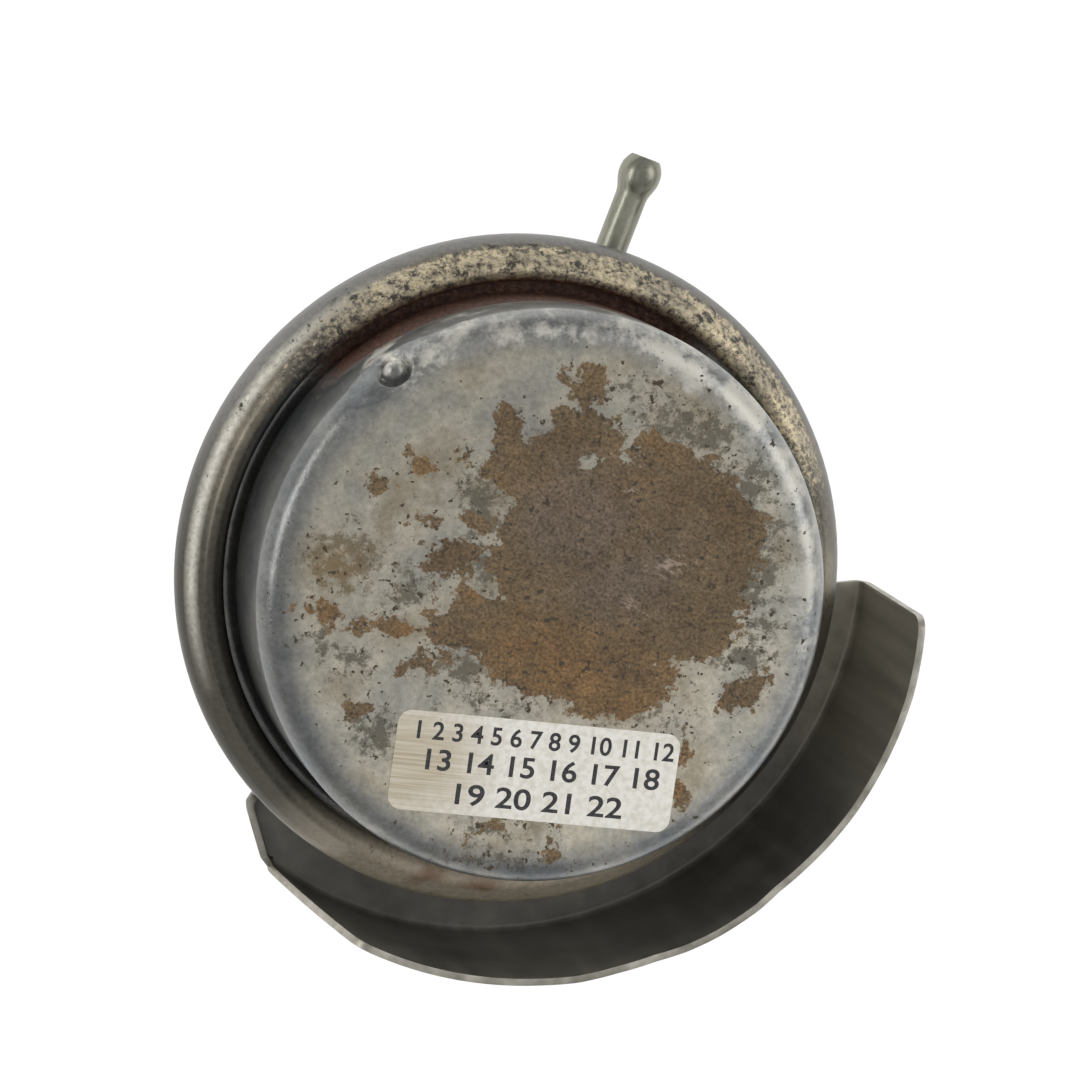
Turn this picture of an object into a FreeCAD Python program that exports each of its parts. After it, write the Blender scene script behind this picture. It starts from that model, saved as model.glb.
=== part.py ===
import FreeCAD, Part
import math
import os

# Turbo actuator: a crimped diaphragm can on two studs, with a spring-returned push rod.
# Millimetres. The rod runs down -Z, the closed end cap faces +Z, and the origin is the
# centre of the two studs on the plane that the bracket bolts up to.

# Mounting
stud_circle_diameter = 40.0
stud_radius = 3.0
stud_length = 16.0
stud_chamfer = 0.7
stud_seat_radius = 3.4
stud_weld_radius = 5.0
collar_height = 4.0
collar_radius = 7.0
collar_edge = 0.4

# Rod-side can and its crimp
can_sheet = 1.1
can_depth = 10.5
can_bottom_bend = 1.5
can_flange_bend = 1.2
crimp_gap = 0.6
crimp_outer_bend = 1.8
crimp_band = 3.8
crimp_knee_bend = 3.4
crimp_slope = 50.0
crimp_width = 4.8
crimp_lip_bend = 1.4

# End cap
cap_step = 1.2
cap_sheet = 1.1
cap_height = 17.6
cap_shoulder_bend = 3.0
cap_flange_bend = 1.0
cap_flange_width = 4.5
vent_angle = 124.1
vent_dent_radius = 3.4
vent_dent_sink = 1.2
vent_pip_radius = 1.5
vent_pip_rise = 0.9
vent_hole_radius = 0.4

# Diaphragm
rubber = 0.8
bead_thickness = 1.5
bead_width = 3.3
bead_edge = 0.4
roll_width = 6.6
roll_depth = 8.0
roll_bend = 2.9
roll_gap = 0.1
roll_wall_gap = 2.7

# Piston, its plate and the top of the rod
piston_radius = 22.0
piston_sheet = 1.2
piston_depth = 10.0
piston_bend = 2.2
plate_inset = 2.5
plate_sheet = 1.0
plate_depth = 3.7
plate_bend = 1.6
cap_rest_gap = 0.3
shoulder_radius = 7.0
shoulder_height = 2.0
spigot_radius = 2.5
washer_radius = 5.5
washer_thickness = 1.0
swage_radius = 4.2
swage_height = 1.4
swage_dome = 1.33

# Return spring and its seat
spring_wire = 2.6
spring_turns = 4
seat_sheet = 0.9
seat_width = 8.0
seat_lip = 3.6
seat_bend = 1.2
seat_spring_gap = 0.6
seat_housing_gap = 0.3

# Push rod, guide and seal
rod_radius = 3.0
rod_running_gap = 0.03
stroke = 10.0
stop_gap = 0.2
stop_radius = 6.6
stop_edge = 0.4
housing_radius = 10.8
housing_nose_radius = 9.2
housing_nose_length = 6.0
housing_flange_radius = 12.9
housing_flange = 1.5
housing_rise = 6.1
housing_reach = 10.0
housing_edge = 0.8
bush_radius = 6.0
bush_length = 15.0
bush_flange_radius = 8.2
bush_flange = 1.4
seal_radius = 7.2
seal_length = 5.0
seal_lip = 0.9
seal_groove_depth = 2.6
retainer_thickness = 1.2
retainer_bore_gap = 0.9
housing_mouth = 0.9
fit_gap = 0.02
pass_gap = 0.1

# Rod end
eye_drop = 78.0
eye_radius = 9.5
eye_thickness = 8.0
eye_bush_radius = 6.0
eye_bore_radius = 4.0
eye_bush_length = 9.0
eye_edge = 0.6
boss_radius = 5.6
boss_length = 9.0
boss_edge = 0.5
shank_root_radius = 8.0
rod_engagement = 8.0
nut_across_flats = 10.0
nut_height = 5.0
nut_chamfer = 0.5

# Hose nipple in the can wall
nipple_angle = 69.4
nipple_height = 3.1
nipple_radius = 1.78
nipple_bore_radius = 1.1
nipple_reach = 48.0
bulb_radius = 2.38
bulb_land = 1.2
bulb_length = 4.3
bulb_front = 1.3
bulb_bend = 0.8
bulb_front_bend = 0.6
nipple_face_radius = 1.7
braze_radius = 2.9
braze_length = 1.5

# Heat shield
shield_sheet = 0.8
shield_radius = 43.8
shield_height = 23.6
shield_bend = 1.5
shield_shift = 2.2
shield_shift_angle = -36.9
shield_disc_inset = 3.0
shield_right_angle = -4.1
shield_right_rim_angle = -4.1
shield_left_angle = -126.5
shield_left_rim_angle = -118.1
shield_right_edge_turn = 8.0
shield_left_edge_turn = 50.8
shield_edge_length = 10.0
shield_corner = 1.8
shield_neck_gap = 1.6
shield_stud_gap = 0.4

# Radii that follow from the piston and the diaphragm's roll
can_radius = piston_radius + roll_gap + roll_width + roll_wall_gap + can_sheet
cap_radius = can_radius - cap_step
flange_radius = cap_radius + cap_flange_width
crimp_radius = flange_radius + crimp_gap + can_sheet
plate_radius = piston_radius - plate_inset
shield_disc_radius = can_radius - shield_disc_inset
seat_lip_radius = housing_flange_radius + seat_housing_gap
spring_mean_radius = seat_lip_radius + seat_sheet + seat_spring_gap + spring_wire / 2

# Heights that follow from the stack
shield_bottom = collar_height
can_bottom = shield_bottom + shield_sheet
can_floor = can_bottom + can_sheet
crimp_bottom = can_bottom + can_depth
crimp_floor = crimp_bottom + can_sheet
cap_flange_bottom = crimp_floor + bead_thickness
cap_flange_top = cap_flange_bottom + cap_sheet
cap_top = cap_flange_top + cap_height
cap_inside = cap_top - cap_sheet
plate_bottom = cap_inside - cap_rest_gap - plate_depth
piston_top = plate_bottom - rubber
piston_underside = piston_top - piston_sheet
shoulder_bottom = piston_underside - shoulder_height
seat_top = can_floor + seat_sheet
housing_top = can_floor + housing_rise
bush_bottom = housing_top - bush_length
seal_bottom = bush_bottom - seal_length
retainer_bottom = seal_bottom - retainer_thickness
bush_top = housing_top + bush_flange
stop_top = shoulder_bottom - stroke - stop_gap
boss_top = -eye_drop + eye_radius - eye_edge + boss_length
stud_offset = stud_circle_diameter / 2
nipple_z = can_bottom + nipple_height

origin = FreeCAD.Vector(0, 0, 0)
up = FreeCAD.Vector(0, 0, 1)


def corner_arc(before, corner, after, radius):
    """Tangent points and middle of the arc that rounds one corner of a profile."""
    back = (before - corner).normalize()
    ahead = (after - corner).normalize()
    half = back.getAngle(ahead) / 2
    reach = radius / math.tan(half)
    bisector = (back + ahead).normalize()
    centre = corner + bisector * (radius / math.sin(half))
    return corner + back * reach, centre - bisector * radius, corner + ahead * reach


def rounded_edges(points, bends):
    """Edges of an open profile, with one bend radius for each inner corner."""
    corners = [FreeCAD.Vector(x, 0, z) for x, z in points]
    edges = []
    start = corners[0]
    for index, bend in enumerate(bends, start=1):
        if bend <= 0:
            edges.append(Part.makeLine(start, corners[index]))
            start = corners[index]
            continue
        entry, middle, leave = corner_arc(corners[index - 1], corners[index], corners[index + 1], bend)
        if start.distanceToPoint(entry) > 1e-6:
            edges.append(Part.makeLine(start, entry))
        edges.append(Part.Arc(entry, middle, leave).toShape())
        start = leave
    if start.distanceToPoint(corners[-1]) > 1e-6:
        edges.append(Part.makeLine(start, corners[-1]))
    return edges


def offset_corners(points, distance):
    """The same profile moved to its left by distance, with mitred corners."""
    lines = []
    for (x1, z1), (x2, z2) in zip(points, points[1:]):
        length = math.hypot(x2 - x1, z2 - z1)
        dx = (x2 - x1) / length
        dz = (z2 - z1) / length
        lines.append((x1 - dz * distance, z1 + dx * distance, dx, dz, length))
    moved = [(lines[0][0], lines[0][1])]
    for (x1, z1, dx1, dz1, _), (x2, z2, dx2, dz2, _) in zip(lines, lines[1:]):
        along = ((x2 - x1) * dz2 - (z2 - z1) * dx2) / (dx1 * dz2 - dz1 * dx2)
        moved.append((x1 + along * dx1, z1 + along * dz1))
    x, z, dx, dz, length = lines[-1]
    moved.append((x + dx * length, z + dz * length))
    return moved


def sheet_profile(points, bends, thickness):
    """Face of a bent sheet: one surface is given, the other lies thickness to its left."""
    inner_bends = []
    for index, bend in enumerate(bends, start=1):
        (x0, z0), (x1, z1), (x2, z2) = points[index - 1 : index + 2]
        turn = (x1 - x0) * (z2 - z1) - (z1 - z0) * (x2 - x1)
        inner_bends.append(max(bend - math.copysign(1, turn) * thickness, 0))
    other = offset_corners(points, thickness)
    near = rounded_edges(points, bends)
    far = rounded_edges(other[::-1], inner_bends[::-1])
    near_end = FreeCAD.Vector(points[-1][0], 0, points[-1][1])
    near_start = FreeCAD.Vector(points[0][0], 0, points[0][1])
    far_end = FreeCAD.Vector(other[-1][0], 0, other[-1][1])
    far_start = FreeCAD.Vector(other[0][0], 0, other[0][1])
    closing = [Part.makeLine(near_end, far_end)]
    opening = [Part.makeLine(far_start, near_start)]
    return Part.Face(Part.Wire(near + closing + far + opening))


def outline_face(points, bends):
    """Face of a closed profile; a bend of 0 leaves that corner sharp."""
    first = points[0]
    last = points[-1]
    start = ((first[0] + last[0]) / 2, (first[1] + last[1]) / 2)
    return Part.Face(Part.Wire(rounded_edges([start] + points + [start], bends)))


def turned(face, angle=360.0, start=0.0):
    """Solid of revolution about the rod axis."""
    solid = face.revolve(origin, up, angle)
    if start:
        solid.rotate(origin, up, start)
    return solid if solid.Volume > 0 else solid.reversed()


def ring(inner, outer, bottom, top, edge=0.0):
    """Turned ring with its outer edges chamfered."""
    points = [(inner, bottom), (outer, bottom), (outer, top), (inner, top)]
    if edge:
        points[1:3] = [
            (outer - edge, bottom),
            (outer, bottom + edge),
            (outer, top - edge),
            (outer - edge, top),
        ]
    return turned(outline_face(points, [0] * len(points)))


def polar(radius, angle, z=0.0):
    turn = math.radians(angle)
    return FreeCAD.Vector(radius * math.cos(turn), radius * math.sin(turn), z)


def shared(pieces):
    """Identical pieces as separate solids of one sub-part."""
    return Part.makeCompound(pieces)


# The cap is a deep-drawn cup with a flat flange. A dent in its shoulder holds the vent pip.
def end_cap():
    points = [
        (0, cap_top),
        (cap_radius, cap_top),
        (cap_radius, cap_flange_top),
        (flange_radius, cap_flange_top),
    ]
    cup = turned(sheet_profile(points, [cap_shoulder_bend, cap_flange_bend], -cap_sheet))
    inner_bend = cap_shoulder_bend - cap_sheet
    inside = [
        (0, cap_flange_bottom),
        (cap_radius - cap_sheet, cap_flange_bottom),
        (cap_radius - cap_sheet, cap_inside),
        (0, cap_inside),
    ]
    hollow = turned(outline_face(inside, [0, 0, inner_bend, 0]))
    slope = FreeCAD.Vector(math.sqrt(0.5), 0, math.sqrt(0.5))
    bend_centre = FreeCAD.Vector(cap_radius - cap_shoulder_bend, 0, cap_top - cap_shoulder_bend)
    surface = bend_centre + slope * cap_shoulder_bend
    dent_centre = surface + slope * (vent_dent_radius - vent_dent_sink)
    dent = Part.makeSphere(vent_dent_radius, dent_centre, slope)
    bulge = Part.makeSphere(vent_dent_radius + cap_sheet, dent_centre, slope).common(hollow)
    pip_top = surface - slope * (vent_dent_sink - vent_pip_rise)
    pip = Part.makeSphere(vent_pip_radius, pip_top - slope * vent_pip_radius, slope)
    bore_depth = 2 * vent_pip_radius + cap_sheet
    bore = Part.makeCylinder(vent_hole_radius, 2 * bore_depth, pip_top - slope * bore_depth, slope)
    tools = [dent, bulge, pip, bore]
    for tool in tools:
        tool.rotate(origin, up, vent_angle)
    dent, bulge, pip, bore = tools
    return cup.fuse(bulge).cut(dent).fuse(pip).cut(bore).removeSplitter()


# The can's rim turns out, up round the cap's flange and back down onto it.
def rod_side_can():
    knee = crimp_bottom + crimp_band
    lip_radius = crimp_radius - crimp_width
    ridge = knee + crimp_width * math.tan(math.radians(crimp_slope))
    points = [
        (housing_radius + pass_gap, can_bottom),
        (can_radius, can_bottom),
        (can_radius, crimp_bottom),
        (crimp_radius, crimp_bottom),
        (crimp_radius, knee),
        (lip_radius, ridge),
        (lip_radius, cap_flange_top),
    ]
    bends = [can_bottom_bend, can_flange_bend, crimp_outer_bend, crimp_knee_bend, crimp_lip_bend]
    can = turned(sheet_profile(points, bends, can_sheet))
    port = Part.makeCylinder(nipple_radius + fit_gap, can_radius, origin, FreeCAD.Vector(1, 0, 0))
    port.translate(FreeCAD.Vector(can_radius / 2, 0, nipple_z))
    port.rotate(origin, up, nipple_angle)
    return can.cut(port)


# The diaphragm's thick rim lies in the crimp; its roll hangs between skirt and can wall.
def diaphragm():
    skirt = piston_radius + roll_gap
    mid_rim = crimp_floor + (bead_thickness - rubber) / 2
    roll_bottom = mid_rim - roll_depth
    rim_inner = flange_radius - bead_width
    points = [
        (rim_inner + bead_edge, mid_rim),
        (skirt + roll_width, mid_rim),
        (skirt + roll_width, roll_bottom),
        (skirt, roll_bottom),
        (skirt, piston_top),
        (spigot_radius + fit_gap, piston_top),
    ]
    bends = [roll_bend, roll_bend, roll_bend, piston_bend + roll_gap]
    membrane = turned(sheet_profile(points, bends, -rubber))
    rim = [
        (rim_inner, crimp_floor),
        (flange_radius - bead_edge, crimp_floor),
        (flange_radius, crimp_floor + bead_edge),
        (flange_radius, cap_flange_bottom),
        (rim_inner, cap_flange_bottom),
    ]
    return membrane.fuse(turned(outline_face(rim, [0] * len(rim))))


# The piston is a pressed cup that the spring pushes up into the diaphragm.
def piston_cup():
    points = [
        (spigot_radius + fit_gap, piston_top),
        (piston_radius, piston_top),
        (piston_radius, piston_top - piston_depth),
    ]
    return turned(sheet_profile(points, [piston_bend], -piston_sheet))


# The plate clamps the diaphragm from the cap side; its upturned rim is the rest stop.
def diaphragm_plate():
    points = [
        (spigot_radius + fit_gap, plate_bottom),
        (plate_radius, plate_bottom),
        (plate_radius, plate_bottom + plate_depth),
    ]
    return turned(sheet_profile(points, [plate_bend], plate_sheet))


def swage_washer():
    bottom = plate_bottom + plate_sheet
    return ring(spigot_radius + fit_gap, washer_radius, bottom, bottom + washer_thickness)


# One turned rod: shoulder under the piston, spigot through the stack, swaged dome on top.
def push_rod():
    swage_bottom = plate_bottom + plate_sheet + washer_thickness
    swage_top = swage_bottom + swage_height
    rod_bottom = boss_top - rod_engagement
    points = [
        (0, rod_bottom),
        (rod_radius, rod_bottom),
        (rod_radius, shoulder_bottom),
        (shoulder_radius, shoulder_bottom),
        (shoulder_radius, piston_underside),
        (spigot_radius, piston_underside),
        (spigot_radius, swage_bottom),
        (swage_radius, swage_bottom),
        (swage_radius, swage_top),
        (0, swage_top),
    ]
    return turned(outline_face(points, [0, 0, 0, 0, 0, 0, 0, 0, swage_dome, 0]))


# The coil is a chain of half circles. Each rising one is tilted about X, so tangents meet on Y,
# and the flat half turn at each end closes the spring on its seat and under the piston.
def return_spring():
    rising = 2 * spring_turns - 2
    rise = (piston_underside - seat_top - spring_wire) / rising
    height = seat_top + spring_wire / 2
    reach = spring_mean_radius
    halves = []
    for lift in [0] + [rise] * rising + [0]:
        begin = FreeCAD.Vector(0, -reach, height)
        middle = FreeCAD.Vector(reach, 0, height + lift / 2)
        end = FreeCAD.Vector(0, reach, height + lift)
        halves.append(Part.Arc(begin, middle, end).toShape())
        height += lift
        reach = -reach
    start = FreeCAD.Vector(0, -spring_mean_radius, seat_top + spring_wire / 2)
    section = Part.Wire(Part.makeCircle(spring_wire / 2, start, FreeCAD.Vector(1, 0, 0)))
    return Part.Wire(halves).makePipeShell([section], True, False)


# The seat's inner lip centres the spring.
def spring_seat():
    points = [
        (seat_lip_radius + seat_width, can_floor),
        (seat_lip_radius, can_floor),
        (seat_lip_radius, can_floor + seat_lip),
    ]
    return turned(sheet_profile(points, [seat_bend], -seat_sheet))


# The guide housing hangs from its flange on the can's floor and reaches out through the shield.
def guide_housing():
    bottom = -housing_reach
    bush_bore = bush_radius + fit_gap
    seal_bore = seal_radius + fit_gap
    points = [
        (bush_bore, housing_top),
        (housing_radius - housing_edge, housing_top),
        (housing_radius, housing_top - housing_edge),
        (housing_radius, can_floor + housing_flange),
        (housing_flange_radius, can_floor + housing_flange),
        (housing_flange_radius, can_floor),
        (housing_radius, can_floor),
        (housing_radius, bottom + housing_nose_length),
        (housing_nose_radius, bottom + housing_nose_length - (housing_radius - housing_nose_radius)),
        (housing_nose_radius, bottom + housing_edge),
        (housing_nose_radius - housing_edge, bottom),
        (seal_bore - housing_mouth, bottom),
        (seal_bore - housing_mouth, retainer_bottom),
        (seal_bore, retainer_bottom),
        (seal_bore, bush_bottom),
        (bush_bore, bush_bottom),
    ]
    return turned(outline_face(points, [0] * len(points)))


# Flanged sintered bush that carries the rod.
def guide_bush():
    bore = rod_radius + rod_running_gap
    points = [
        (bore, bush_bottom),
        (bush_radius, bush_bottom),
        (bush_radius, housing_top),
        (bush_flange_radius, housing_top),
        (bush_flange_radius, bush_top),
        (bore, bush_top),
    ]
    return turned(outline_face(points, [0] * len(points)))


def travel_stop():
    return ring(rod_radius + retainer_bore_gap, stop_radius, bush_top, stop_top, stop_edge)


# U-section rubber seal: one lip on the housing, one on the rod.
def rod_seal():
    bore = rod_radius + rod_running_gap
    points = [
        (bore, seal_bottom),
        (seal_radius, seal_bottom),
        (seal_radius, bush_bottom),
        (seal_radius - seal_lip, bush_bottom),
        (seal_radius - seal_lip, bush_bottom - seal_groove_depth),
        (bore + seal_lip, bush_bottom - seal_groove_depth),
        (bore + seal_lip, bush_bottom),
        (bore, bush_bottom),
    ]
    return turned(outline_face(points, [0] * len(points)))


def seal_retainer():
    return ring(rod_radius + retainer_bore_gap, seal_radius, retainer_bottom, seal_bottom)


# Weld studs: a flat weld foot on the can, a seat for the collar and a shank with a chamfered tip.
def mounting_studs():
    points = [
        (0, -stud_length),
        (stud_radius - stud_chamfer, -stud_length),
        (stud_radius, -stud_length + stud_chamfer),
        (stud_radius, 0),
        (stud_seat_radius, 0),
        (stud_seat_radius, shield_bottom),
        (stud_weld_radius, shield_bottom),
        (stud_weld_radius, can_bottom),
        (0, can_bottom),
    ]
    stud = turned(outline_face(points, [0] * len(points)))
    return shared([stud.translated(polar(stud_offset, angle)) for angle in (0, 180)])


# Collars pressed on the studs clamp the shield and carry the bracket.
def stud_collars():
    collar = ring(stud_seat_radius + fit_gap, collar_radius, 0, collar_height, collar_edge)
    return shared([collar.translated(polar(stud_offset, angle)) for angle in (0, 180)])


def nipple_placed(shape):
    """Turns a piece built along +Z to point out of the can at the nipple's place."""
    shape.rotate(origin, FreeCAD.Vector(0, 1, 0), 90)
    shape.translate(up * nipple_z)
    shape.rotate(origin, up, nipple_angle)
    return shape


# Tube with a hose bulb at its tip and a braze fillet where it leaves the can wall.
def hose_nipple():
    root = can_radius - can_sheet
    tip = nipple_reach
    land_end = tip - bulb_front
    points = [
        (nipple_bore_radius, root),
        (nipple_radius, root),
        (nipple_radius, tip - bulb_length),
        (bulb_radius, land_end - bulb_land),
        (bulb_radius, land_end),
        (nipple_face_radius, tip),
        (nipple_bore_radius, tip),
    ]
    tube = turned(outline_face(points, [0, 0, bulb_bend, bulb_bend, bulb_front_bend, 0, 0]))
    braze = [
        (nipple_bore_radius, root),
        (braze_radius, root),
        (nipple_radius, can_radius + braze_length),
        (nipple_bore_radius, can_radius + braze_length),
    ]
    nipple = nipple_placed(tube.fuse(turned(outline_face(braze, [0] * len(braze)))))
    wall = Part.makeCylinder(can_radius, can_depth, up * can_bottom)
    stub = nipple_placed(ring(nipple_bore_radius, nipple_radius, root, can_radius))
    return nipple.cut(wall).fuse(stub).removeSplitter()


def shield_end_cutter(base_angle, rim_angle, outward):
    """Block outside one end of the shield wall: it follows the end's slope and rounds its rim corner."""
    slope = math.radians(rim_angle - base_angle) * shield_radius / shield_height
    top = shield_bottom + shield_height
    far = outward * shield_radius
    points = [
        (-slope * shield_bottom, 0),
        (slope * shield_height, top),
        (-far, top),
        (-far, top + shield_height),
        (far, top + shield_height),
        (far, 0),
    ]
    face = outline_face(points, [0, shield_corner, 0, 0, 0, 0])
    block = face.extrude(FreeCAD.Vector(0, -2 * shield_radius, 0))
    block.rotate(origin, up, base_angle + 90)
    return block


def shield_floor():
    """Flat plate between the wall and two straight edges that lead in under the can."""
    foot = shield_radius - shield_bend
    right = polar(foot, shield_right_angle)
    left = polar(foot, shield_left_angle)
    middle = polar(foot, (shield_right_angle + shield_left_angle) / 2)
    right_way = polar(shield_edge_length, shield_right_angle + 180 + shield_right_edge_turn)
    left_way = polar(shield_edge_length, shield_left_angle + 180 + shield_left_edge_turn)
    edges = [
        Part.Arc(left, middle, right).toShape(),
        Part.makeLine(right, right + right_way),
        Part.makeLine(right + right_way, origin),
        Part.makeLine(origin, left + left_way),
        Part.makeLine(left + left_way, left),
    ]
    return Part.Face(Part.Wire(edges)).extrude(up * shield_sheet).translated(up * shield_bottom)


# The shield is a flat plate under the can with a wall bent up round one side, a little off centre.
def heat_shield():
    section = [
        (shield_radius - shield_bend, shield_bottom),
        (shield_radius, shield_bottom),
        (shield_radius, shield_bottom + shield_height),
    ]
    sweep = shield_right_angle - shield_left_angle
    wall = turned(sheet_profile(section, [shield_bend], shield_sheet), sweep, shield_left_angle)
    for base, rim, outward in (
        (shield_right_angle, shield_right_rim_angle, 1),
        (shield_left_angle, shield_left_rim_angle, -1),
    ):
        wall = wall.cut(shield_end_cutter(base, rim, outward))
    bent = shield_floor().fuse(wall).translated(polar(shield_shift, shield_shift_angle))
    disc = Part.makeCylinder(shield_disc_radius, shield_sheet, up * shield_bottom)
    shield = bent.fuse(disc).cut(Part.makeCylinder(housing_radius + shield_neck_gap, can_bottom))
    for angle in (0, 180):
        centre = polar(stud_offset, angle)
        shield = shield.cut(Part.makeCylinder(stud_weld_radius + shield_stud_gap, can_bottom, centre))
    return shield.removeSplitter()


# Hexagon nut that locks the rod end on the rod.
def lock_nut():
    corner_radius = nut_across_flats / math.sqrt(3)
    hexagon = Part.makePolygon([polar(corner_radius, 60 * step) for step in range(7)])
    prism = Part.Face(hexagon).extrude(up * nut_height)
    points = [
        (0, 0),
        (corner_radius - nut_chamfer, 0),
        (corner_radius, nut_chamfer),
        (corner_radius, nut_height - nut_chamfer),
        (corner_radius - nut_chamfer, nut_height),
        (0, nut_height),
    ]
    nut = prism.common(turned(outline_face(points, [0] * len(points))))
    nut = nut.cut(Part.makeCylinder(rod_radius + fit_gap, nut_height))
    nut.translate(up * boss_top)
    return nut


# Forged rod end: a round boss that flows into a flat-sided eye.
def rod_end():
    eye = Part.makeCylinder(eye_radius, eye_thickness, origin, FreeCAD.Vector(0, 1, 0))
    eye = eye.makeChamfer(eye_edge, [edge for edge in eye.Edges if edge.Closed])
    eye.translate(FreeCAD.Vector(0, -eye_thickness / 2, -eye_drop))
    boss_bottom = boss_top - boss_length
    boss = ring(0, boss_radius, boss_bottom, boss_top, boss_edge)
    shank_length = eye_drop + boss_bottom + boss_edge
    shank = Part.makeCone(shank_root_radius, boss_radius, shank_length, up * -eye_drop)
    corner = FreeCAD.Vector(-shank_root_radius, -eye_thickness / 2, -eye_drop)
    sides = Part.makeBox(2 * shank_root_radius, eye_thickness, shank_length, corner)
    body = eye.fuse([boss, shank.common(sides)])
    blind = up * (boss_top - rod_engagement - fit_gap)
    body = body.cut(Part.makeCylinder(rod_radius + fit_gap, boss_length, blind))
    bore_start = FreeCAD.Vector(0, -eye_thickness, -eye_drop)
    bore_radius = eye_bush_radius + fit_gap
    bore = Part.makeCylinder(bore_radius, 2 * eye_thickness, bore_start, FreeCAD.Vector(0, 1, 0))
    return body.cut(bore).removeSplitter()


def eye_bush():
    start = FreeCAD.Vector(0, -eye_bush_length / 2, -eye_drop)
    side = FreeCAD.Vector(0, 1, 0)
    bush = Part.makeCylinder(eye_bush_radius, eye_bush_length, start, side)
    return bush.cut(Part.makeCylinder(eye_bore_radius, eye_bush_length, start, side))


nodes = {
    "end_cap": end_cap,
    "rod_side_can": rod_side_can,
    "diaphragm": diaphragm,
    "piston_cup": piston_cup,
    "diaphragm_plate": diaphragm_plate,
    "swage_washer": swage_washer,
    "push_rod": push_rod,
    "return_spring": return_spring,
    "spring_seat": spring_seat,
    "guide_housing": guide_housing,
    "guide_bush": guide_bush,
    "travel_stop": travel_stop,
    "rod_seal": rod_seal,
    "seal_retainer": seal_retainer,
    "mounting_studs": mounting_studs,
    "stud_collars": stud_collars,
    "hose_nipple": hose_nipple,
    "heat_shield": heat_shield,
    "lock_nut": lock_nut,
    "rod_end": rod_end,
    "eye_bush": eye_bush,
}

os.makedirs("parts", exist_ok=True)
for name, build in nodes.items():
    shape = build()
    print(name, "solids", len(shape.Solids), "valid", shape.isValid(), "volume", round(shape.Volume, 1))
    shape.exportStep("parts/" + name + ".step")
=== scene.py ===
import bpy
import bmesh
import math
from mathutils import Matrix, Vector


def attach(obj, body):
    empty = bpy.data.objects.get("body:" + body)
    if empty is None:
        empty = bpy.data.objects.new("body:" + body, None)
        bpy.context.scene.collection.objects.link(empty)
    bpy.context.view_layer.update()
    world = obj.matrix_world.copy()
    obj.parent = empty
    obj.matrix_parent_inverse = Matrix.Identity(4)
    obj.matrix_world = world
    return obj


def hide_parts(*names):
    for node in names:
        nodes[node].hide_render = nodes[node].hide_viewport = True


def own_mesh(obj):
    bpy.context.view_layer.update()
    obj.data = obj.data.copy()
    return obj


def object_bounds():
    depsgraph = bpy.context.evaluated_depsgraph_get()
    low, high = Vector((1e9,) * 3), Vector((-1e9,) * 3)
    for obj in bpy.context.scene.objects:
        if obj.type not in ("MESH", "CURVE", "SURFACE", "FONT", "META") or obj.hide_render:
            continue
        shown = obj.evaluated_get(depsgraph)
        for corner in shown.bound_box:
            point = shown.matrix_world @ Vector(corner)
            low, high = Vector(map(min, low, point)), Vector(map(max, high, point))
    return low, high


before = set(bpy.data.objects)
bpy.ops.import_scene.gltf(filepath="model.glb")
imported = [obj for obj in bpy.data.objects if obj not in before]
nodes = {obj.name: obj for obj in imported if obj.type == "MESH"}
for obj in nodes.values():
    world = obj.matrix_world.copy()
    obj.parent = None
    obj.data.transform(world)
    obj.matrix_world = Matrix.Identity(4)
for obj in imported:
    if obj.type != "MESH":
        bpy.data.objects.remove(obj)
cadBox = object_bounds()
mm = 0.001


# sRGB hex, as a user picks it, to the linear values that shaders take
def hexColour(text):
    values = [int(text[i:i + 2], 16) / 255 for i in (1, 3, 5)]
    return (*[v / 12.92 if v <= 0.04045 else ((v + 0.055) / 1.055) ** 2.4 for v in values], 1.0)


# Adds a node with its settings; an input is a value, a colour in hex or another node's output
def addNode(material, kind, inputs=None, stops=None, **settings):
    tree = material.node_tree
    node = tree.nodes.new("ShaderNode" + kind)
    for name, value in settings.items():
        setattr(node, name, value)
    for key, value in (inputs or {}).items():
        if isinstance(value, bpy.types.NodeSocket):
            tree.links.new(value, node.inputs[key])
        else:
            node.inputs[key].default_value = hexColour(value) if isinstance(value, str) else value
    if stops:
        elements = node.color_ramp.elements
        while len(elements) < len(stops):
            elements.new(0.5)
        for element, (place, colour) in zip(elements, stops):
            element.position = place
            element.color = hexColour(colour)
    return node.outputs


def newMaterial(name):
    material = bpy.data.materials.new(name)
    material.use_nodes = True
    material.node_tree.nodes.clear()
    return material


# The surface point in millimetres, with its distance and direction from the rod axis
def placesOn(material):
    raw = addNode(material, "TexCoord")["Object"]
    point = addNode(material, "VectorMath", {"Vector": raw, "Scale": 1 / mm}, operation="SCALE")[0]
    x, y, z = addNode(material, "SeparateXYZ", {0: point})[:]
    flat = addNode(material, "CombineXYZ", {0: x, 1: y})[0]
    radius = addNode(material, "VectorMath", {0: flat}, operation="LENGTH")["Value"]
    around = addNode(material, "VectorMath", {0: flat}, operation="NORMALIZE")[0]
    return {"point": point, "z": z, "radius": radius, "around": around}


# The point pushed about by noise, so that an edge drawn with it wanders by up to reach millimetres
def wander(material, point, size, reach, detail=4.0):
    colour = addNode(material, "TexNoise", {"Vector": point, "Scale": 1 / size, "Detail": detail})["Color"]
    shift = addNode(material, "VectorMath", {0: colour, 1: (0.5, 0.5, 0.5)}, operation="SUBTRACT")[0]
    return addNode(
        material, "VectorMath", {0: shift, 1: (2 * reach, 2 * reach, 2 * reach), 2: point},
        operation="MULTIPLY_ADD",
    )[0]


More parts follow.
